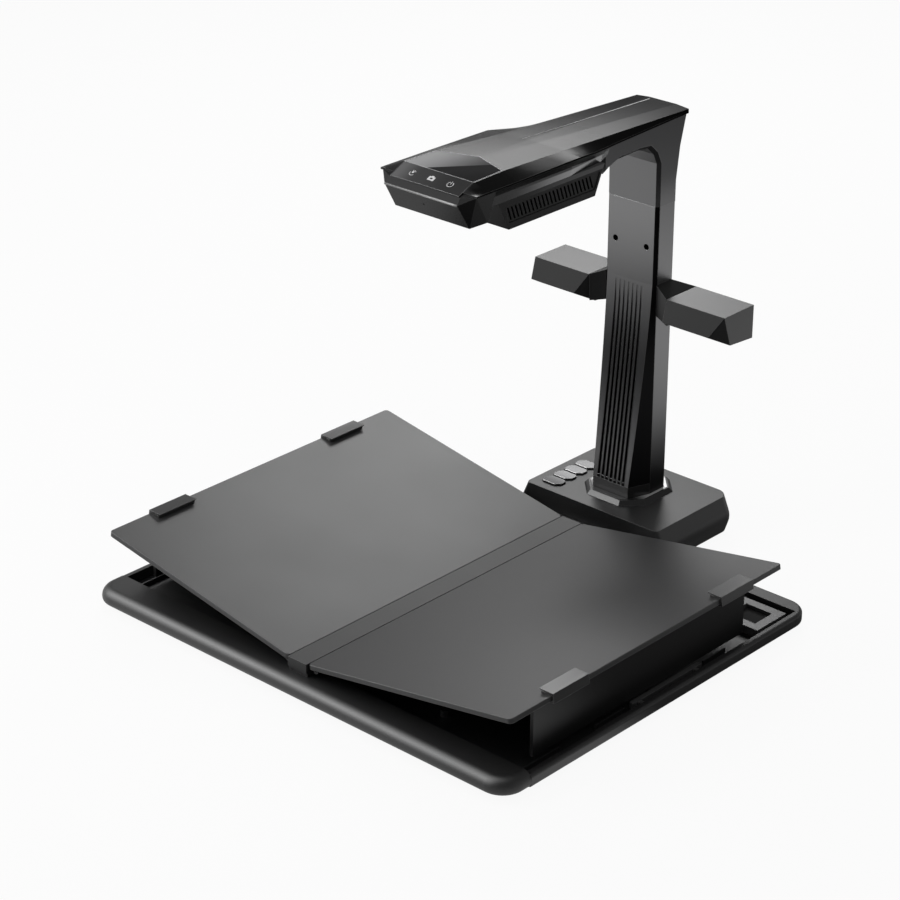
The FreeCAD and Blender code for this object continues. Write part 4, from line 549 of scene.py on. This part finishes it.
class SCANNER_OT_tray(bpy.types.Operator):
    """Finish the tray, its rail, its fittings and what lies under it."""
    bl_idname = "scanner.dress_tray"
    bl_label = "Tray and its fittings"

    def execute(self, context):
        c = colours()
        dress(finish("tray_satin", c.tray, 0.45, grain=1100, edge=0.25, cloud=0.05, specular=0.75), "tray_shell")
        dress(finish("sheet_black", grey(0.012), 0.55, grain=2500, depth=0.00004), "tray_base_plate", "base_plate")
        dress(finish("rubber_feet", grey(0.010), 0.85, grain=1600, depth=0.00006),
              "tray_feet", "base_feet", "corner_mats")
        dress(finish("silver_trim", c.silver, 0.34, grain=1400, edge=0.5, metallic=0.35), "tray_fittings")
        dress(finish("screw_steel", grey(0.45), 0.28, metallic=1.0, texture="brushing", grain=900),
              "tray_screws", "base_screws", "board_hinge_pins", "left_prop_pin", "right_prop_pin",
              "light_pivot_pins")
        dress(finish("rail_satin", c.rail, 0.50, edge=0.3), "spine_rail", "spine_end_cap")
        return {"FINISHED"}


class SCANNER_OT_boards(bpy.types.Operator):
    """Finish the book boards, their props and the page clips."""
    bl_idname = "scanner.dress_boards"
    bl_label = "Boards, props and clips"

    def execute(self, context):
        c = colours()
        dress(finish("board_satin", c.board, 0.40, grain=1300, depth=0.00003, edge=0.7,
                     edge_shade=grey(0.30), cloud=0.08), "left_board", "right_board")
        dress(finish("prop_black", c.black, 0.42, grain=1200, depth=0.00003, edge=0.3), "left_prop", "right_prop")
        dress(finish("clip_satin", c.board, 0.33, grain=1500, edge=0.6, edge_shade=grey(0.33)),
              "left_front_clip", "left_rear_clip", "right_front_clip", "right_rear_clip")
        return {"FINISHED"}


class SCANNER_OT_arm(bpy.types.Operator):
    """Finish the base, the mast, the elbow, the arm and the lamp pod."""
    bl_idname = "scanner.dress_arm"
    bl_label = "Base, mast and arm"

    def execute(self, context):
        self.mast_and_elbow(colours())
        self.hood_and_base(colours())
        self.underside(colours())
        self.small_parts(colours())
        return {"FINISHED"}

    @staticmethod
    def mast_and_elbow(c):
        metallic_paint = {"grain": 2600, "depth": 0.00001, "edge": 0.5, "edge_radius": 0.0005,
                          "metallic": 0.95, "cloud": 0.04}
        foot, seam = low("mast_front_cover").z, high("mast_front_cover").z
        middle = foot + 0.45 * (seam - foot)
        # painted light and shade: light at the foot, dark midway, light again at the seam; dark side facets and
        # grooves
        dress(finish("mast_cover_paint", grey(0.190, 0.192), 0.30, edge_shade=grey(0.34), **metallic_paint,
                     blends=((*rising(foot + 0.008, middle), grey(0.042, 0.043)),
                             (*rising(middle, seam), grey(0.215, 0.217)),
                             (*facing(0.25, 0.6), grey(0.014, 0.0145)),
                             ("ribbing", {"Top": GROOVE_TOP, "Fade": GROOVE_FADE}, grey(0.006)))),
              "mast_front_cover")
        # painted shade: dark at the foot, turning to the mast's grey over the lowest 7.5 cm
        dress(finish("mast_paint", grey(0.030, 0.031), 0.28, edge_shade=grey(0.34), **metallic_paint,
                     blends=((*rising(foot, foot + 0.075), c.mast),)), "mast_rear_shell")
        bend = low("elbow_shell").z
        # painted shade: darker side faces, fading out over the elbow's lowest 3 cm
        dress(finish("elbow_paint", c.elbow, 0.30, edge_shade=grey(0.30), **metallic_paint,
                     blends=((*facing(0.25, 0.6), grey(0.092, 0.094)),
                             (*rising(bend + 0.030, bend), c.elbow))), "elbow_shell")

    @staticmethod
    def hood_and_base(c):
        front, rear = low("arm_hood").y, high("arm_hood").y
        # painted shade: darker side facets, more on the right; the coat masks leave less gloss on them and towards
        # the rear
        dress(finish("hood_paint", c.arm, 0.45, grain=2600, depth=0.00001, edge=0.8, specular=0.0, coat=0.44,
                     coat_roughness=0.2, edge_shade=grey(0.20), edge_radius=0.0005, cloud=0.04,
                     blends=((*facing(0.08, 0.2, 0.35), grey(0.006)),),
                     coat_masks=((*facing(0.05, 0.15, 0.45), 0.25), (*facing(0.3, 0.5, 0.45), 0.3),
                                 (*backward(front + 0.08, rear), 0.22))), "arm_hood")
        # the dark blends stand for the reflection on the base's top, in front of the collar
        dress(finish("base_satin", c.base, 0.40, grain=2200, depth=0.00001, edge=0.4, cloud=0.05,
                     blends=((*slanting(0.92, 0.39, 0.112, 0.080), grey(0.012, 0.0122)),
                             (*slanting(0.92, 0.39, 0.055, 0.020), grey(0.022, 0.0222)))), "base_housing")

    @staticmethod
    def underside(c):
        trim = {"grain": 1800, "depth": 0.000006, "edge": 0.5, "cloud": 0.05}
        dress(finish("gloss_trim", c.gloss, 0.24, specular=0.1, edge_shade=grey(0.12), **trim), "head_front_shell")
        dress(finish("collar_gloss", c.gloss, 0.24, edge_shade=grey(0.12), **trim), "mast_collar")
        seat = low("arm_lower_shell").z
        front, rear, roof = low("lamp_pod").y, high("lamp_pod").y, high("lamp_pod").z
        # painted highlight: a light band along its lowest 5 mm, fading towards the front
        dress(finish("lower_shell_paint", grey(0.012, 0.0122), 0.26, metallic=0.9, edge_shade=grey(0.20), **trim,
                     blends=((*rising(seat + 0.0062, seat + 0.0050), grey(0.200, 0.202)),
                             (*backward(rear - 0.03, front + 0.01), grey(0.014, 0.0142)))), "arm_lower_shell")
        # painted highlight: a light band along its top few millimetres, fading to black towards the front
        dress(finish("pod_black", c.black, 0.40, grain=1500, edge=0.35, specular=0.1, edge_shade=grey(0.12),
                     blends=((*rising(roof - 0.0045, roof - 0.0035), grey(0.150, 0.152)),
                             (*backward(rear - 0.03, front + 0.02), c.black))), "lamp_pod")

    @staticmethod
    def small_parts(c):
        dress(finish("panel_black", c.black, 0.40, grain=1500, edge=0.35, specular=0.3, edge_shade=grey(0.12)),
              "port_panel", "left_light_hub", "right_light_hub")
        dress(finish("foot_gloss", grey(0.006), 0.2, grain=1500, depth=0.000005, edge=0.4, coat=0.4),
              "mast_foot", "power_rocker", "camera_barrel")
        # painted reflection: the keys darker towards the front one
        dress(finish("key_silver", grey(0.16, 0.162), 0.26, metallic=1.0, texture="brushing", grain=700,
                     depth=0.000004, edge=0.9, edge_shade=grey(0.75), edge_radius=0.0007,
                     blends=((*backward(high("base_key_2").y, low("base_key_1").y), grey(0.035, 0.036)),)),
              "base_key_1", "base_key_2", "base_key_3", "base_key_4")


class SCANNER_OT_lights(bpy.types.Operator):
    """Finish the side lights, the lenses and the collar ring."""
    bl_idname = "scanner.dress_lights"
    bl_label = "Lights and lenses"

    def execute(self, context):
        c = colours()
        slope = Plane("left_light_housing", (0, -0.97, 0.25), (1, 0, 0))
        front = slope.middle.dot(slope.normal)
        heading = dict(zip("XYZ", slope.normal))
        # painted shade: the housings' sloped front faces nearly black
        dress(finish("light_satin", c.light_top, 0.36, grain=2000, depth=0.00001, edge=0.5, edge_shade=grey(0.35),
                     blends=(("along", {**heading, "Start": front - 0.0006, "End": front - 0.0001},
                              grey(0.004, 0.0041)),)), "left_light_housing", "right_light_housing")
        dress(finish("frosted_white", c.diffuser, 0.5, grain=2600, depth=0.00001, cloud=0.03),
              "left_light_diffuser", "right_light_diffuser", "pod_lamp_lens")
        ring = low("collar_ring").y
        # painted reflection: the ring dark at its front, where it mirrors the mast
        dress(finish("ring_satin", grey(0.75), 0.25, grain=2600, depth=0.000005, cloud=0.03, metallic=0.4,
                     blends=((*backward(ring + 0.026, ring + 0.008), grey(0.020, 0.021)),)), "collar_ring")
        dress(finish("led_phosphor", (0.78, 0.62, 0.14), 0.5, grain=3000), "left_light_leds", "right_light_leds")
        dress(finish("lens_coated", (0.012, 0.014, 0.026), 0.06, grain=600, depth=0.0, coat=1.0,
                     coat_roughness=0.02), "camera_lens")
        return {"FINISHED"}


class SCANNER_OT_glass(bpy.types.Operator):
    """Finish the display glass and the touch panel with painted reflections, and lay a bead, a painted highlight,
    round each.
    """
    bl_idname = "scanner.display_trim"
    bl_label = "Display and touch panel"

    def execute(self, context):
        left, right = low("display_glass").x, high("display_glass").x
        glass = {"grain": 400, "depth": 0.0, "cloud": 0.03, "coat_roughness": 0.05}
        line, lean = REFLECTED_LINE, REFLECTED_LEAN
        # painted reflection: light at the left, dark past a mirrored straight edge, near black at the right
        dress(finish("display_pane", grey(0.42, 0.425), 0.12, specular=0.0, coat=0.015, **glass,
                     blends=((*rightward(left, 0.6 * right), grey(0.075, 0.077)),
                             (*slanting(1.0, lean, line, line + 0.0015), grey(0.014, 0.015)),
                             (*slanting(1.0, lean, line + 0.012, line + 0.04), grey(0.006, 0.0065)))),
              "display_glass")
        # painted reflection: lighter at the left, near black towards the right
        dress(finish("touch_pane", grey(0.14, 0.142), 0.12, specular=0.2, coat=0.3, **glass,
                     blends=((*rightward(left, 0.35 * left), grey(0.030, 0.031)),
                             (*rightward(0.35 * left, 0.6 * right), grey(0.007, 0.0075)))), "touch_panel")
        # the beads are painted highlights along the glass edges, dimmer round the touch panel
        satin = {"metallic": 0.3, "grain": 2500, "depth": 0.000002}
        bright = finish("glass_edge_highlight", grey(0.42, 0.43), 0.35, **satin)
        dim = finish("touch_edge_highlight", grey(0.10, 0.102), 0.35, **satin)
        radius = sizes().bead
        for node, facing_up, shine in (("display_glass", (0, 0, 1), bright), ("touch_panel", PANEL_FACING, dim)):
            flat = Plane(node, facing_up, (1, 0, 0))
            corners = sorted(flat.corners, key=lambda p: math.atan2(
                (Vector(p) - flat.middle).dot(flat.up), (Vector(p) - flat.middle).dot(flat.right)))
            inset = [Vector(p) + (flat.middle - Vector(p)).normalized() * radius * 1.5 for p in corners]
            bm = bmesh.new()
            path = []
            for one, two in zip(inset, inset[1:] + inset[:1]):
                path += [one.lerp(two, share) for share in (0.01, 0.5, 0.99)]
            tube(bm, path, radius, sides=6, closed=True)
            piece(node + "_bead", bm, shine, "root", True)
        return {"FINISHED"}


class SCANNER_OT_arm_trim(bpy.types.Operator):
    """Lay painted highlights on the hood's crease and the head's front ridge, the microphone hole, and the pod's
    dark liner of painted shade.
    """
    bl_idname = "scanner.arm_trim"
    bl_label = "Crease, ridge, microphone and liner"

    def execute(self, context):
        # black for the microphone hole, and painted shade on the pod's liner
        black = finish("hole_black", grey(0.002), 0.9, grain=2500)
        self.crease(sizes())
        self.ridge(sizes())
        self.microphone(sizes(), black)
        self.liner(sizes(), black)
        return {"FINISHED"}

    @staticmethod
    def crease(s):
        # a painted highlight along the hood's crease, narrowing towards the front
        paint = finish("crease_highlight", grey(0.30), 0.3, metallic=0.5, grain=2500, depth=0.000002)
        front, rear = low("arm_hood").y, high("arm_hood").y
        start, end = rear - CREASE_GAP, front + CREASE_END * (rear - front)
        rows = [start + (end - start) * step / CREASE_STEPS for step in range(CREASE_STEPS + 1)]
        bm = bmesh.new()
        ribbon(bm, [(s.crease_side, y, on_top("arm_hood", s.crease_side, y)) for y in rows],
               lambda t: s.crease_width * (1 - CREASE_TAPER * t), CREASE_THICK)
        piece("hood_crease_highlight", bm, paint, "root")

    @staticmethod
    def ridge(s):
        slope = Plane("head_front_shell", (0, -0.77, 0.63), (1, 0, 0))
        least = min((Vector(p) - slope.middle).dot(slope.up) for p in slope.corners)
        foot = sorted(p for p in slope.corners if (Vector(p) - slope.middle).dot(slope.up) < least + 0.0006)
        left, right = Vector(foot[0]), Vector(foot[-1])
        bm = bmesh.new()
        tube(bm, [left.lerp(right, share) for share in (0.005, 0.05, 0.5, 0.95, 0.995)], s.ridge)
        # a painted highlight along the head's front ridge, lighter towards the right
        bright = finish("ridge_highlight", grey(0.16), 0.35, grain=2500, depth=0.000002,
                        blends=((*rightward(left.x, right.x), grey(0.55)),))
        piece("head_ridge_highlight", bm, bright, "root", True)

    @staticmethod
    def microphone(s, black):
        face = Plane("head_front_shell", (0, -0.86, -0.52), (1, 0, 0))
        centre = (s.microphone_side - face.middle.x, 0.0012)
        bm = bmesh.new()
        arc_band(bm, face, centre, s.microphone * 1.1, s.microphone * 0.5, 0, 360, 0.00001, 0.00006)
        raised(bm, face, circle(centre, s.microphone, 20), 0.00001, 0.00003)
        piece("microphone", bm, black, "root")

    @staticmethod
    def liner(s, black):
        """A dark sheet in the pod's middle, so that its two rows of slots don't show daylight; its black is painted
        shade for the pod's inside.
        """
        outline = []
        for level, inward in ((low("lamp_pod").z, 0.0045), (high("lamp_pod").z, -0.003)):
            near = [v.co.y for v in NODES["lamp_pod"].data.vertices if abs(v.co.z - level) < 0.0015]
            outline.append((min(near) + LINER_GAP, max(near) - LINER_GAP, level + inward))
        (y0, y1, z0), (y2, y3, z1) = outline
        bm = bmesh.new()
        sides = [[bm.verts.new((x, y, z)) for y, z in ((y0, z0), (y1, z0), (y3, z1), (y2, z1))]
                 for x in (-s.liner / 2, s.liner / 2)]
        for ring in sides:
            bm.faces.new(ring)
        skirt(bm, *sides)
        piece("pod_liner", bm, black, "root")


class SCANNER_OT_icons(bpy.types.Operator):
    """Print a lamp, a camera and a power mark on the touch panel."""
    bl_idname = "scanner.touch_icons"
    bl_label = "Touch icons"

    LIFT, THICK = 0.00002, 0.00005

    def execute(self, context):
        flat = Plane("touch_panel", PANEL_FACING, (1, 0, 0))
        ink = icon_ink()
        for name, draw in (("power_icon", self.power), ("camera_icon", self.camera), ("lamp_icon", self.lamp)):
            bm = bmesh.new()
            draw(bm, flat, sizes())
            piece(name, bm, ink, "root")
        return {"FINISHED"}

    def power(self, bm, flat, s):
        """An open ring with a bar at its top."""
        u, size, half = s.icon_side, s.icon_size, s.icon_line / 2
        arc_band(bm, flat, (u, 0), size * 0.42, s.icon_line, 120, 420, self.LIFT, self.THICK)
        raised(bm, flat, [(u - half, 0), (u + half, 0), (u + half, size * 0.5), (u - half, size * 0.5)],
               self.LIFT, self.THICK)

    def camera(self, bm, flat, s):
        """A solid body round an open lens, with a hump on top."""
        size = s.icon_size
        w, h, lens = size * 0.5, size * 0.34, size * 0.21
        outer = rounded(w, h, size * 0.08)
        for one, two in zip(outer, outer[1:] + outer[:1]):
            a1, a2 = math.atan2(one[1], one[0]), math.atan2(two[1], two[0])
            raised(bm, flat, [one, two, (lens * math.cos(a2), lens * math.sin(a2)),
                              (lens * math.cos(a1), lens * math.sin(a1))], self.LIFT, self.THICK)
        raised(bm, flat, [(-w * 0.45, h), (w * 0.45, h), (w * 0.3, h + size * 0.14), (-w * 0.3, h + size * 0.14)],
               self.LIFT, self.THICK)

    def lamp(self, bm, flat, s):
        """A disc over a bowl, with three rays."""
        u, size = -s.icon_side, s.icon_size
        arc_band(bm, flat, (u, -size * 0.05), size * 0.38, s.icon_line, 160, 330, self.LIFT, self.THICK)
        middle = Vector((u, size * 0.02))
        for degrees in (40, 75, 110):
            angle = math.radians(degrees)
            reach = Vector((math.cos(angle), math.sin(angle)))
            side = Vector((-math.sin(angle), math.cos(angle))) * s.icon_line / 2
            near, far = middle + reach * size * 0.28, middle + reach * size * 0.46
            raised(bm, flat, [tuple(p) for p in (near + side, far + side, far - side, near - side)],
                   self.LIFT, self.THICK)
        raised(bm, flat, circle((u, size * 0.1), size * 0.16, 24), self.LIFT, self.THICK)


class SCANNER_OT_sockets(bpy.types.Operator):
    """Put tongues and contacts in the rear sockets, and marks on the power rocker."""
    bl_idname = "scanner.rear_sockets"
    bl_label = "Rear sockets and rocker"

    def execute(self, context):
        dress(finish("socket_steel", grey(0.50), 0.3, metallic=1.0, texture="brushing", grain=900),
              "rear_sockets")
        tongue = finish("tongue_black", grey(0.015, 0.016), 0.5, grain=2500)
        gold = finish("contact_gold", (0.80, 0.55, 0.18), 0.25, metallic=1.0, texture="brushing", grain=1500)
        rear = high("port_panel").y
        middle = (low("port_panel").z + high("port_panel").z) / 2
        for name, x, half, z0, z1, count in (
                ("usb_a_tongue", USB_A_X, 0.0055, middle + 0.0002, middle + 0.0022, sizes().contacts),
                ("usb_b_tongue", USB_B_X, 0.0028, middle - 0.0016, middle + 0.0016, 2)):
            inner, outer = rear - SOCKET_BACK, rear - SOCKET_FRONT
            piece(name, self.tongue((x, half), (inner, outer), (z0, z1)), tongue, "root")
            piece(name + "_contacts", self.contacts(x, half, inner, outer, z0, count), gold, "root")
        bm = bmesh.new()
        tube(bm, [(INLET_X, rear - depth, middle) for depth in PIN_DEPTHS], PIN_RADIUS,
             sides=16, taper=lambda t: 1.0 if t < 0.9 else 0.6)
        piece("inlet_pin", bm, gold, "root", True)
        self.rocker_marks(sizes().mark_line)
        return {"FINISHED"}

    @staticmethod
    def tongue(across, deep, tall):
        """A bar with softened edges in a socket, from its middle and half width, its depths and its heights."""
        (x, half), (y0, y1), (z0, z1) = across, deep, tall
        bm = bmesh.new()
        bmesh.ops.create_cube(bm, size=1.0)
        for v in bm.verts:
            v.co = Vector((x + v.co.x * 2 * half, (y0 + y1) / 2 + v.co.y * (y1 - y0),
                           (z0 + z1) / 2 + v.co.z * (z1 - z0)))
        bmesh.ops.bevel(bm, geom=bm.edges[:], offset=0.0003, segments=2, affect="EDGES")
        return bm

    @staticmethod
    def contacts(x, half, inner, outer, under, count):
        """Thin strips side by side under a tongue."""
        bm = bmesh.new()
        wide = sizes().contact / 2
        pitch = 2 * half / (count + 0.4)
        for i in range(count):
            cx = x + (i - (count - 1) / 2) * pitch
            back, front = inner + 0.001, outer - 0.0008
            face = bm.faces.new([bm.verts.new((cx + dx, y, under - 0.00012)) for dx, y in
                                 ((-wide, back), (wide, back), (wide, front), (-wide, front))])
            grown = bmesh.ops.extrude_face_region(bm, geom=[face])
            for v in grown["geom"]:
                if isinstance(v, bmesh.types.BMVert):
                    v.co.z += 0.00016
        return bm

    @staticmethod
    def rocker_marks(width):
        """A line and a ring, one on each half of the power rocker."""
        half, reach = width / 2, 0.0009
        for name, looks in (("rocker_line", (0, 0.98, -0.2)), ("rocker_ring", (0, 0.98, 0.2))):
            flat = Plane("power_rocker", looks, (-1, 0, 0))
            bm = bmesh.new()
            if name == "rocker_line":
                raised(bm, flat, [(-half, -reach), (half, -reach), (half, reach), (-half, reach)],
                       MARK_LIFT, MARK_THICK)
            else:
                arc_band(bm, flat, (0, 0), reach, width, 0, 360, MARK_LIFT, MARK_THICK)
            piece(name, bm, icon_ink(), "power_rocker")


class SCANNER_OT_inner(bpy.types.Operator):
    """Finish the circuit boards, the ribbon and the inner metal."""
    bl_idname = "scanner.inner_parts"
    bl_label = "Inner parts"

    def execute(self, context):
        dress(finish("solder_mask", (0.010, 0.085, 0.035), 0.35, grain=1800, depth=0.00001, edge=0.5,
                     edge_shade=(0.25, 0.22, 0.10)), "main_board", "key_switch_board", "camera_board")
        dress(finish("ribbon_satin", grey(0.70, 0.68), 0.45, texture="brushing", grain=400), "ribbon_cable")
        dress(finish("alloy_drawn", grey(0.60, 0.61), 0.35, metallic=1.0, texture="brushing", grain=800),
              "mast_spine", "arm_frame")
        return {"FINISHED"}


class SCANNER_OT_stage(bpy.types.Operator):
    """Set the pale floor, the soft studio light and the camera."""
    bl_idname = "scanner.stage"
    bl_label = "Floor, light and camera"

    def execute(self, context):
        scene = context.scene
        scene.view_settings.view_transform = "Standard"
        bm = bmesh.new()
        bmesh.ops.create_grid(bm, x_segments=1, y_segments=1, size=FLOOR_HALF)
        floor = bpy.data.objects.new("floor", mesh_of("floor", bm, False))
        scene.collection.objects.link(floor)
        floor.location.z = -FLOOR_DROP
        floor.data.materials.append(floor_material())
        world = bpy.data.worlds.new("studio")
        scene.world = world
        world.use_nodes = True
        studio(world.node_tree)
        for name, place, size, power in LAMPS:
            lamp = bpy.data.lights.new(name, "AREA")
            lamp.shape = "RECTANGLE"
            lamp.size, lamp.size_y = size
            lamp.energy = power
            holder = bpy.data.objects.new(name, lamp)
            holder.location = place
            aim = Vector(LAMP_TARGET) - Vector(place)
            holder.rotation_euler = aim.to_track_quat("-Z", "Y").to_euler()
            scene.collection.objects.link(holder)
        lens = bpy.data.cameras.new("camera")
        lens.sensor_width = 36.0
        lens.lens = CAMERA_LENS
        lens.shift_x, lens.shift_y = CAMERA_SHIFT
        camera = bpy.data.objects.new("camera", lens)
        camera.location = CAMERA_PLACE
        camera.rotation_euler = [math.radians(turn) for turn in CAMERA_TURN]
        scene.collection.objects.link(camera)
        scene.camera = camera
        return {"FINISHED"}


FLOOR_HALF, FLOOR_DROP = 9.0, 0.0001
CAMERA_PLACE = (1.2852, -1.44535, 1.0475)
CAMERA_TURN = (90 - 25.41, 0.0, 42.82)  # degrees
CAMERA_LENS, CAMERA_SHIFT = 108.07, (0.0135, 0.0023)

LAMP_TARGET = (0, 0.02, 0.15)
LAMPS = (  # name, place, width and height, watts
    ("rear_left_softbox", (-0.95, 1.20, 1.12), (0.62, 0.62), 7.6),
    ("overhead_softbox", (-0.2, -0.1, 2.4), (1.8, 1.4), 8.0),
    ("right_softbox", (2.4, 0.5, 1.0), (1.2, 1.0), 1.0),
    ("front_fill", (-1.6, -2.2, 1.2), (1.4, 1.2), 3.0),
    ("front_left_strip", (-0.68, -0.71, 0.745), (0.50, 0.30), 3.0),
)

FLOOR_WHITE = 0.93  # share of plain white in the floor; the rest keeps the shadow
FLOOR_DULL = 0.30  # the floor's colour for light that bounces off it
POOL_BACK, POOL_FRONT = (0.55, 0.83), (0.67, -0.74)  # headings over the floor, towards the back and the front
GLOW_HEADING, GLOW_LEVEL = (-0.61, -0.43, 0.66), 3.6  # a soft bright patch that glossy surfaces mirror
WHITE = (1, 1, 1, 1)


def pool(tree):
    """The floor's level in reflections: a pool of light that is dimmer close behind, far behind and in front."""
    near = use(tree, *slanting(*POOL_BACK, 0.22, 0.56))
    behind = use(tree, *slanting(*POOL_BACK, 0.02, 0.10))
    far = use(tree, *slanting(*POOL_BACK, 0.82, 1.18))
    front = use(tree, *slanting(*POOL_FRONT, 0.15, 0.6))
    dim = maths(tree, "MULTIPLY", behind, maths(tree, "SUBTRACT", 1.0, near))
    level = maths(tree, "SUBTRACT", 1.0, maths(tree, "MULTIPLY", dim, 0.9))
    level = maths(tree, "MULTIPLY", level, maths(tree, "SUBTRACT", 1.0, maths(tree, "MULTIPLY", far, 0.75)))
    return maths(tree, "MULTIPLY", level, maths(tree, "SUBTRACT", 0.95, maths(tree, "MULTIPLY", front, 0.8)))


def choose(tree, share, one, two):
    """Mix two shaders by a number or a socket."""
    node = add(tree, "ShaderNodeMixShader")
    feed(tree, share, node.inputs[0])
    feed(tree, one.outputs[0], node.inputs[1])
    feed(tree, two.outputs[0], node.inputs[2])
    return node


def ramp(tree, value, start, end, first, last, **settings):
    """Map a value from one range to another, held at its ends."""
    node = add(tree, "ShaderNodeMapRange", **settings)
    for title, level in (("From Min", start), ("From Max", end), ("To Min", first), ("To Max", last)):
        node.inputs[title].default_value = level
    feed(tree, value, node.inputs["Value"])
    return node.outputs["Result"]


def floor_material():
    """Pale floor: it looks white, keeps a soft shadow, and throws back little light; glossy surfaces mirror a
    painted pool of light on it.
    """
    made = bpy.data.materials.new("pale_floor")
    made.use_nodes = True
    tree = made.node_tree
    tree.nodes.clear()
    out = add(tree, "ShaderNodeOutputMaterial")
    rays = add(tree, "ShaderNodeLightPath")
    pale = add(tree, "ShaderNodeBsdfDiffuse", Color=(*colours().floor, 1.0))
    dull = add(tree, "ShaderNodeBsdfDiffuse", Color=(*grey(FLOOR_DULL), 1.0))
    white = add(tree, "ShaderNodeEmission", Strength=1.0)
    reflected = add(tree, "ShaderNodeEmission", Strength=1.0)
    feed(tree, pool(tree), reflected.inputs["Color"])
    mirrored = maths(tree, "MAXIMUM", rays.outputs["Is Glossy Ray"], rays.outputs["Is Transmission Ray"])
    both = choose(tree, rays.outputs["Is Camera Ray"], choose(tree, mirrored, dull, reflected),
                  choose(tree, FLOOR_WHITE, pale, white))
    feed(tree, both.outputs[0], out.inputs["Surface"])
    return made


def studio(tree):
    """White seen from the camera; for light and gloss, a grey room with a glow on one side."""
    tree.nodes.clear()
    out = add(tree, "ShaderNodeOutputWorld")
    rays = add(tree, "ShaderNodeLightPath")
    heading = add(tree, "ShaderNodeTexCoord").outputs["Generated"]
    split = add(tree, "ShaderNodeSeparateXYZ")
    feed(tree, heading, split.inputs[0])
    light = ramp(tree, split.outputs["Z"], -0.1, 0.9, 0.16, 0.42)
    gloss = ramp(tree, split.outputs["Z"], 0.0, 0.35, 0.5, 0.2)
    towards = add(tree, "ShaderNodeVectorMath", operation="DOT_PRODUCT")
    feed(tree, heading, towards.inputs[0])
    towards.inputs[1].default_value = GLOW_HEADING
    glow = ramp(tree, towards.outputs["Value"], 0.74, 0.98, 0.0, GLOW_LEVEL, interpolation_type="SMOOTHSTEP")
    level = add(tree, "ShaderNodeMix")
    feed(tree, rays.outputs["Is Glossy Ray"], level.inputs[0])
    feed(tree, light, level.inputs[2])
    feed(tree, maths(tree, "ADD", gloss, glow), level.inputs[3])
    room = add(tree, "ShaderNodeBackground", Color=WHITE)
    feed(tree, level.outputs[0], room.inputs["Strength"])
    white = add(tree, "ShaderNodeBackground", Color=WHITE, Strength=1.0)
    both = choose(tree, rays.outputs["Is Camera Ray"], room, white)
    feed(tree, both.outputs[0], out.inputs["Surface"])


OPERATORS = (SCANNER_OT_tray, SCANNER_OT_boards, SCANNER_OT_arm, SCANNER_OT_lights, SCANNER_OT_glass,
             SCANNER_OT_arm_trim, SCANNER_OT_icons, SCANNER_OT_sockets, SCANNER_OT_inner, SCANNER_OT_stage)


class SCANNER_PT_panel(bpy.types.Panel):
    """Shows the scanner's colours and sizes, and a button for each operator."""
    bl_idname = "SCANNER_PT_panel"
    bl_label = "Book scanner"
    bl_space_type = "VIEW_3D"
    bl_region_type = "UI"
    bl_category = "Scanner"

    def draw(self, context):
        scene = context.scene
        for title, settings in (("Colours", scene.scanner_colours), ("Sizes", scene.scanner_sizes)):
            column = self.layout.column(align=True)
            column.label(text=title)
            for key in settings.__annotations__:
                column.prop(settings, key)
        column = self.layout.column(align=True)
        for operator in OPERATORS:
            column.operator(operator.bl_idname)


CLASSES = (ScannerColours, ScannerSizes) + OPERATORS + (SCANNER_PT_panel,)


def register():
    for item in CLASSES:
        bpy.utils.register_class(item)
    bpy.types.Scene.scanner_colours = PointerProperty(type=ScannerColours)
    bpy.types.Scene.scanner_sizes = PointerProperty(type=ScannerSizes)


def unregister():
    del bpy.types.Scene.scanner_sizes
    del bpy.types.Scene.scanner_colours
    for item in reversed(CLASSES):
        bpy.utils.unregister_class(item)


def main():
    register()
    bpy.ops.scanner.dress_tray()
    bpy.ops.scanner.dress_boards()
    bpy.ops.scanner.dress_arm()
    bpy.ops.scanner.dress_lights()
    bpy.ops.scanner.display_trim()
    bpy.ops.scanner.arm_trim()
    bpy.ops.scanner.touch_icons()
    bpy.ops.scanner.rear_sockets()
    bpy.ops.scanner.inner_parts()
    bpy.ops.scanner.stage()
    bpy.context.view_layer.update()


if __name__ == "__main__":
    main()
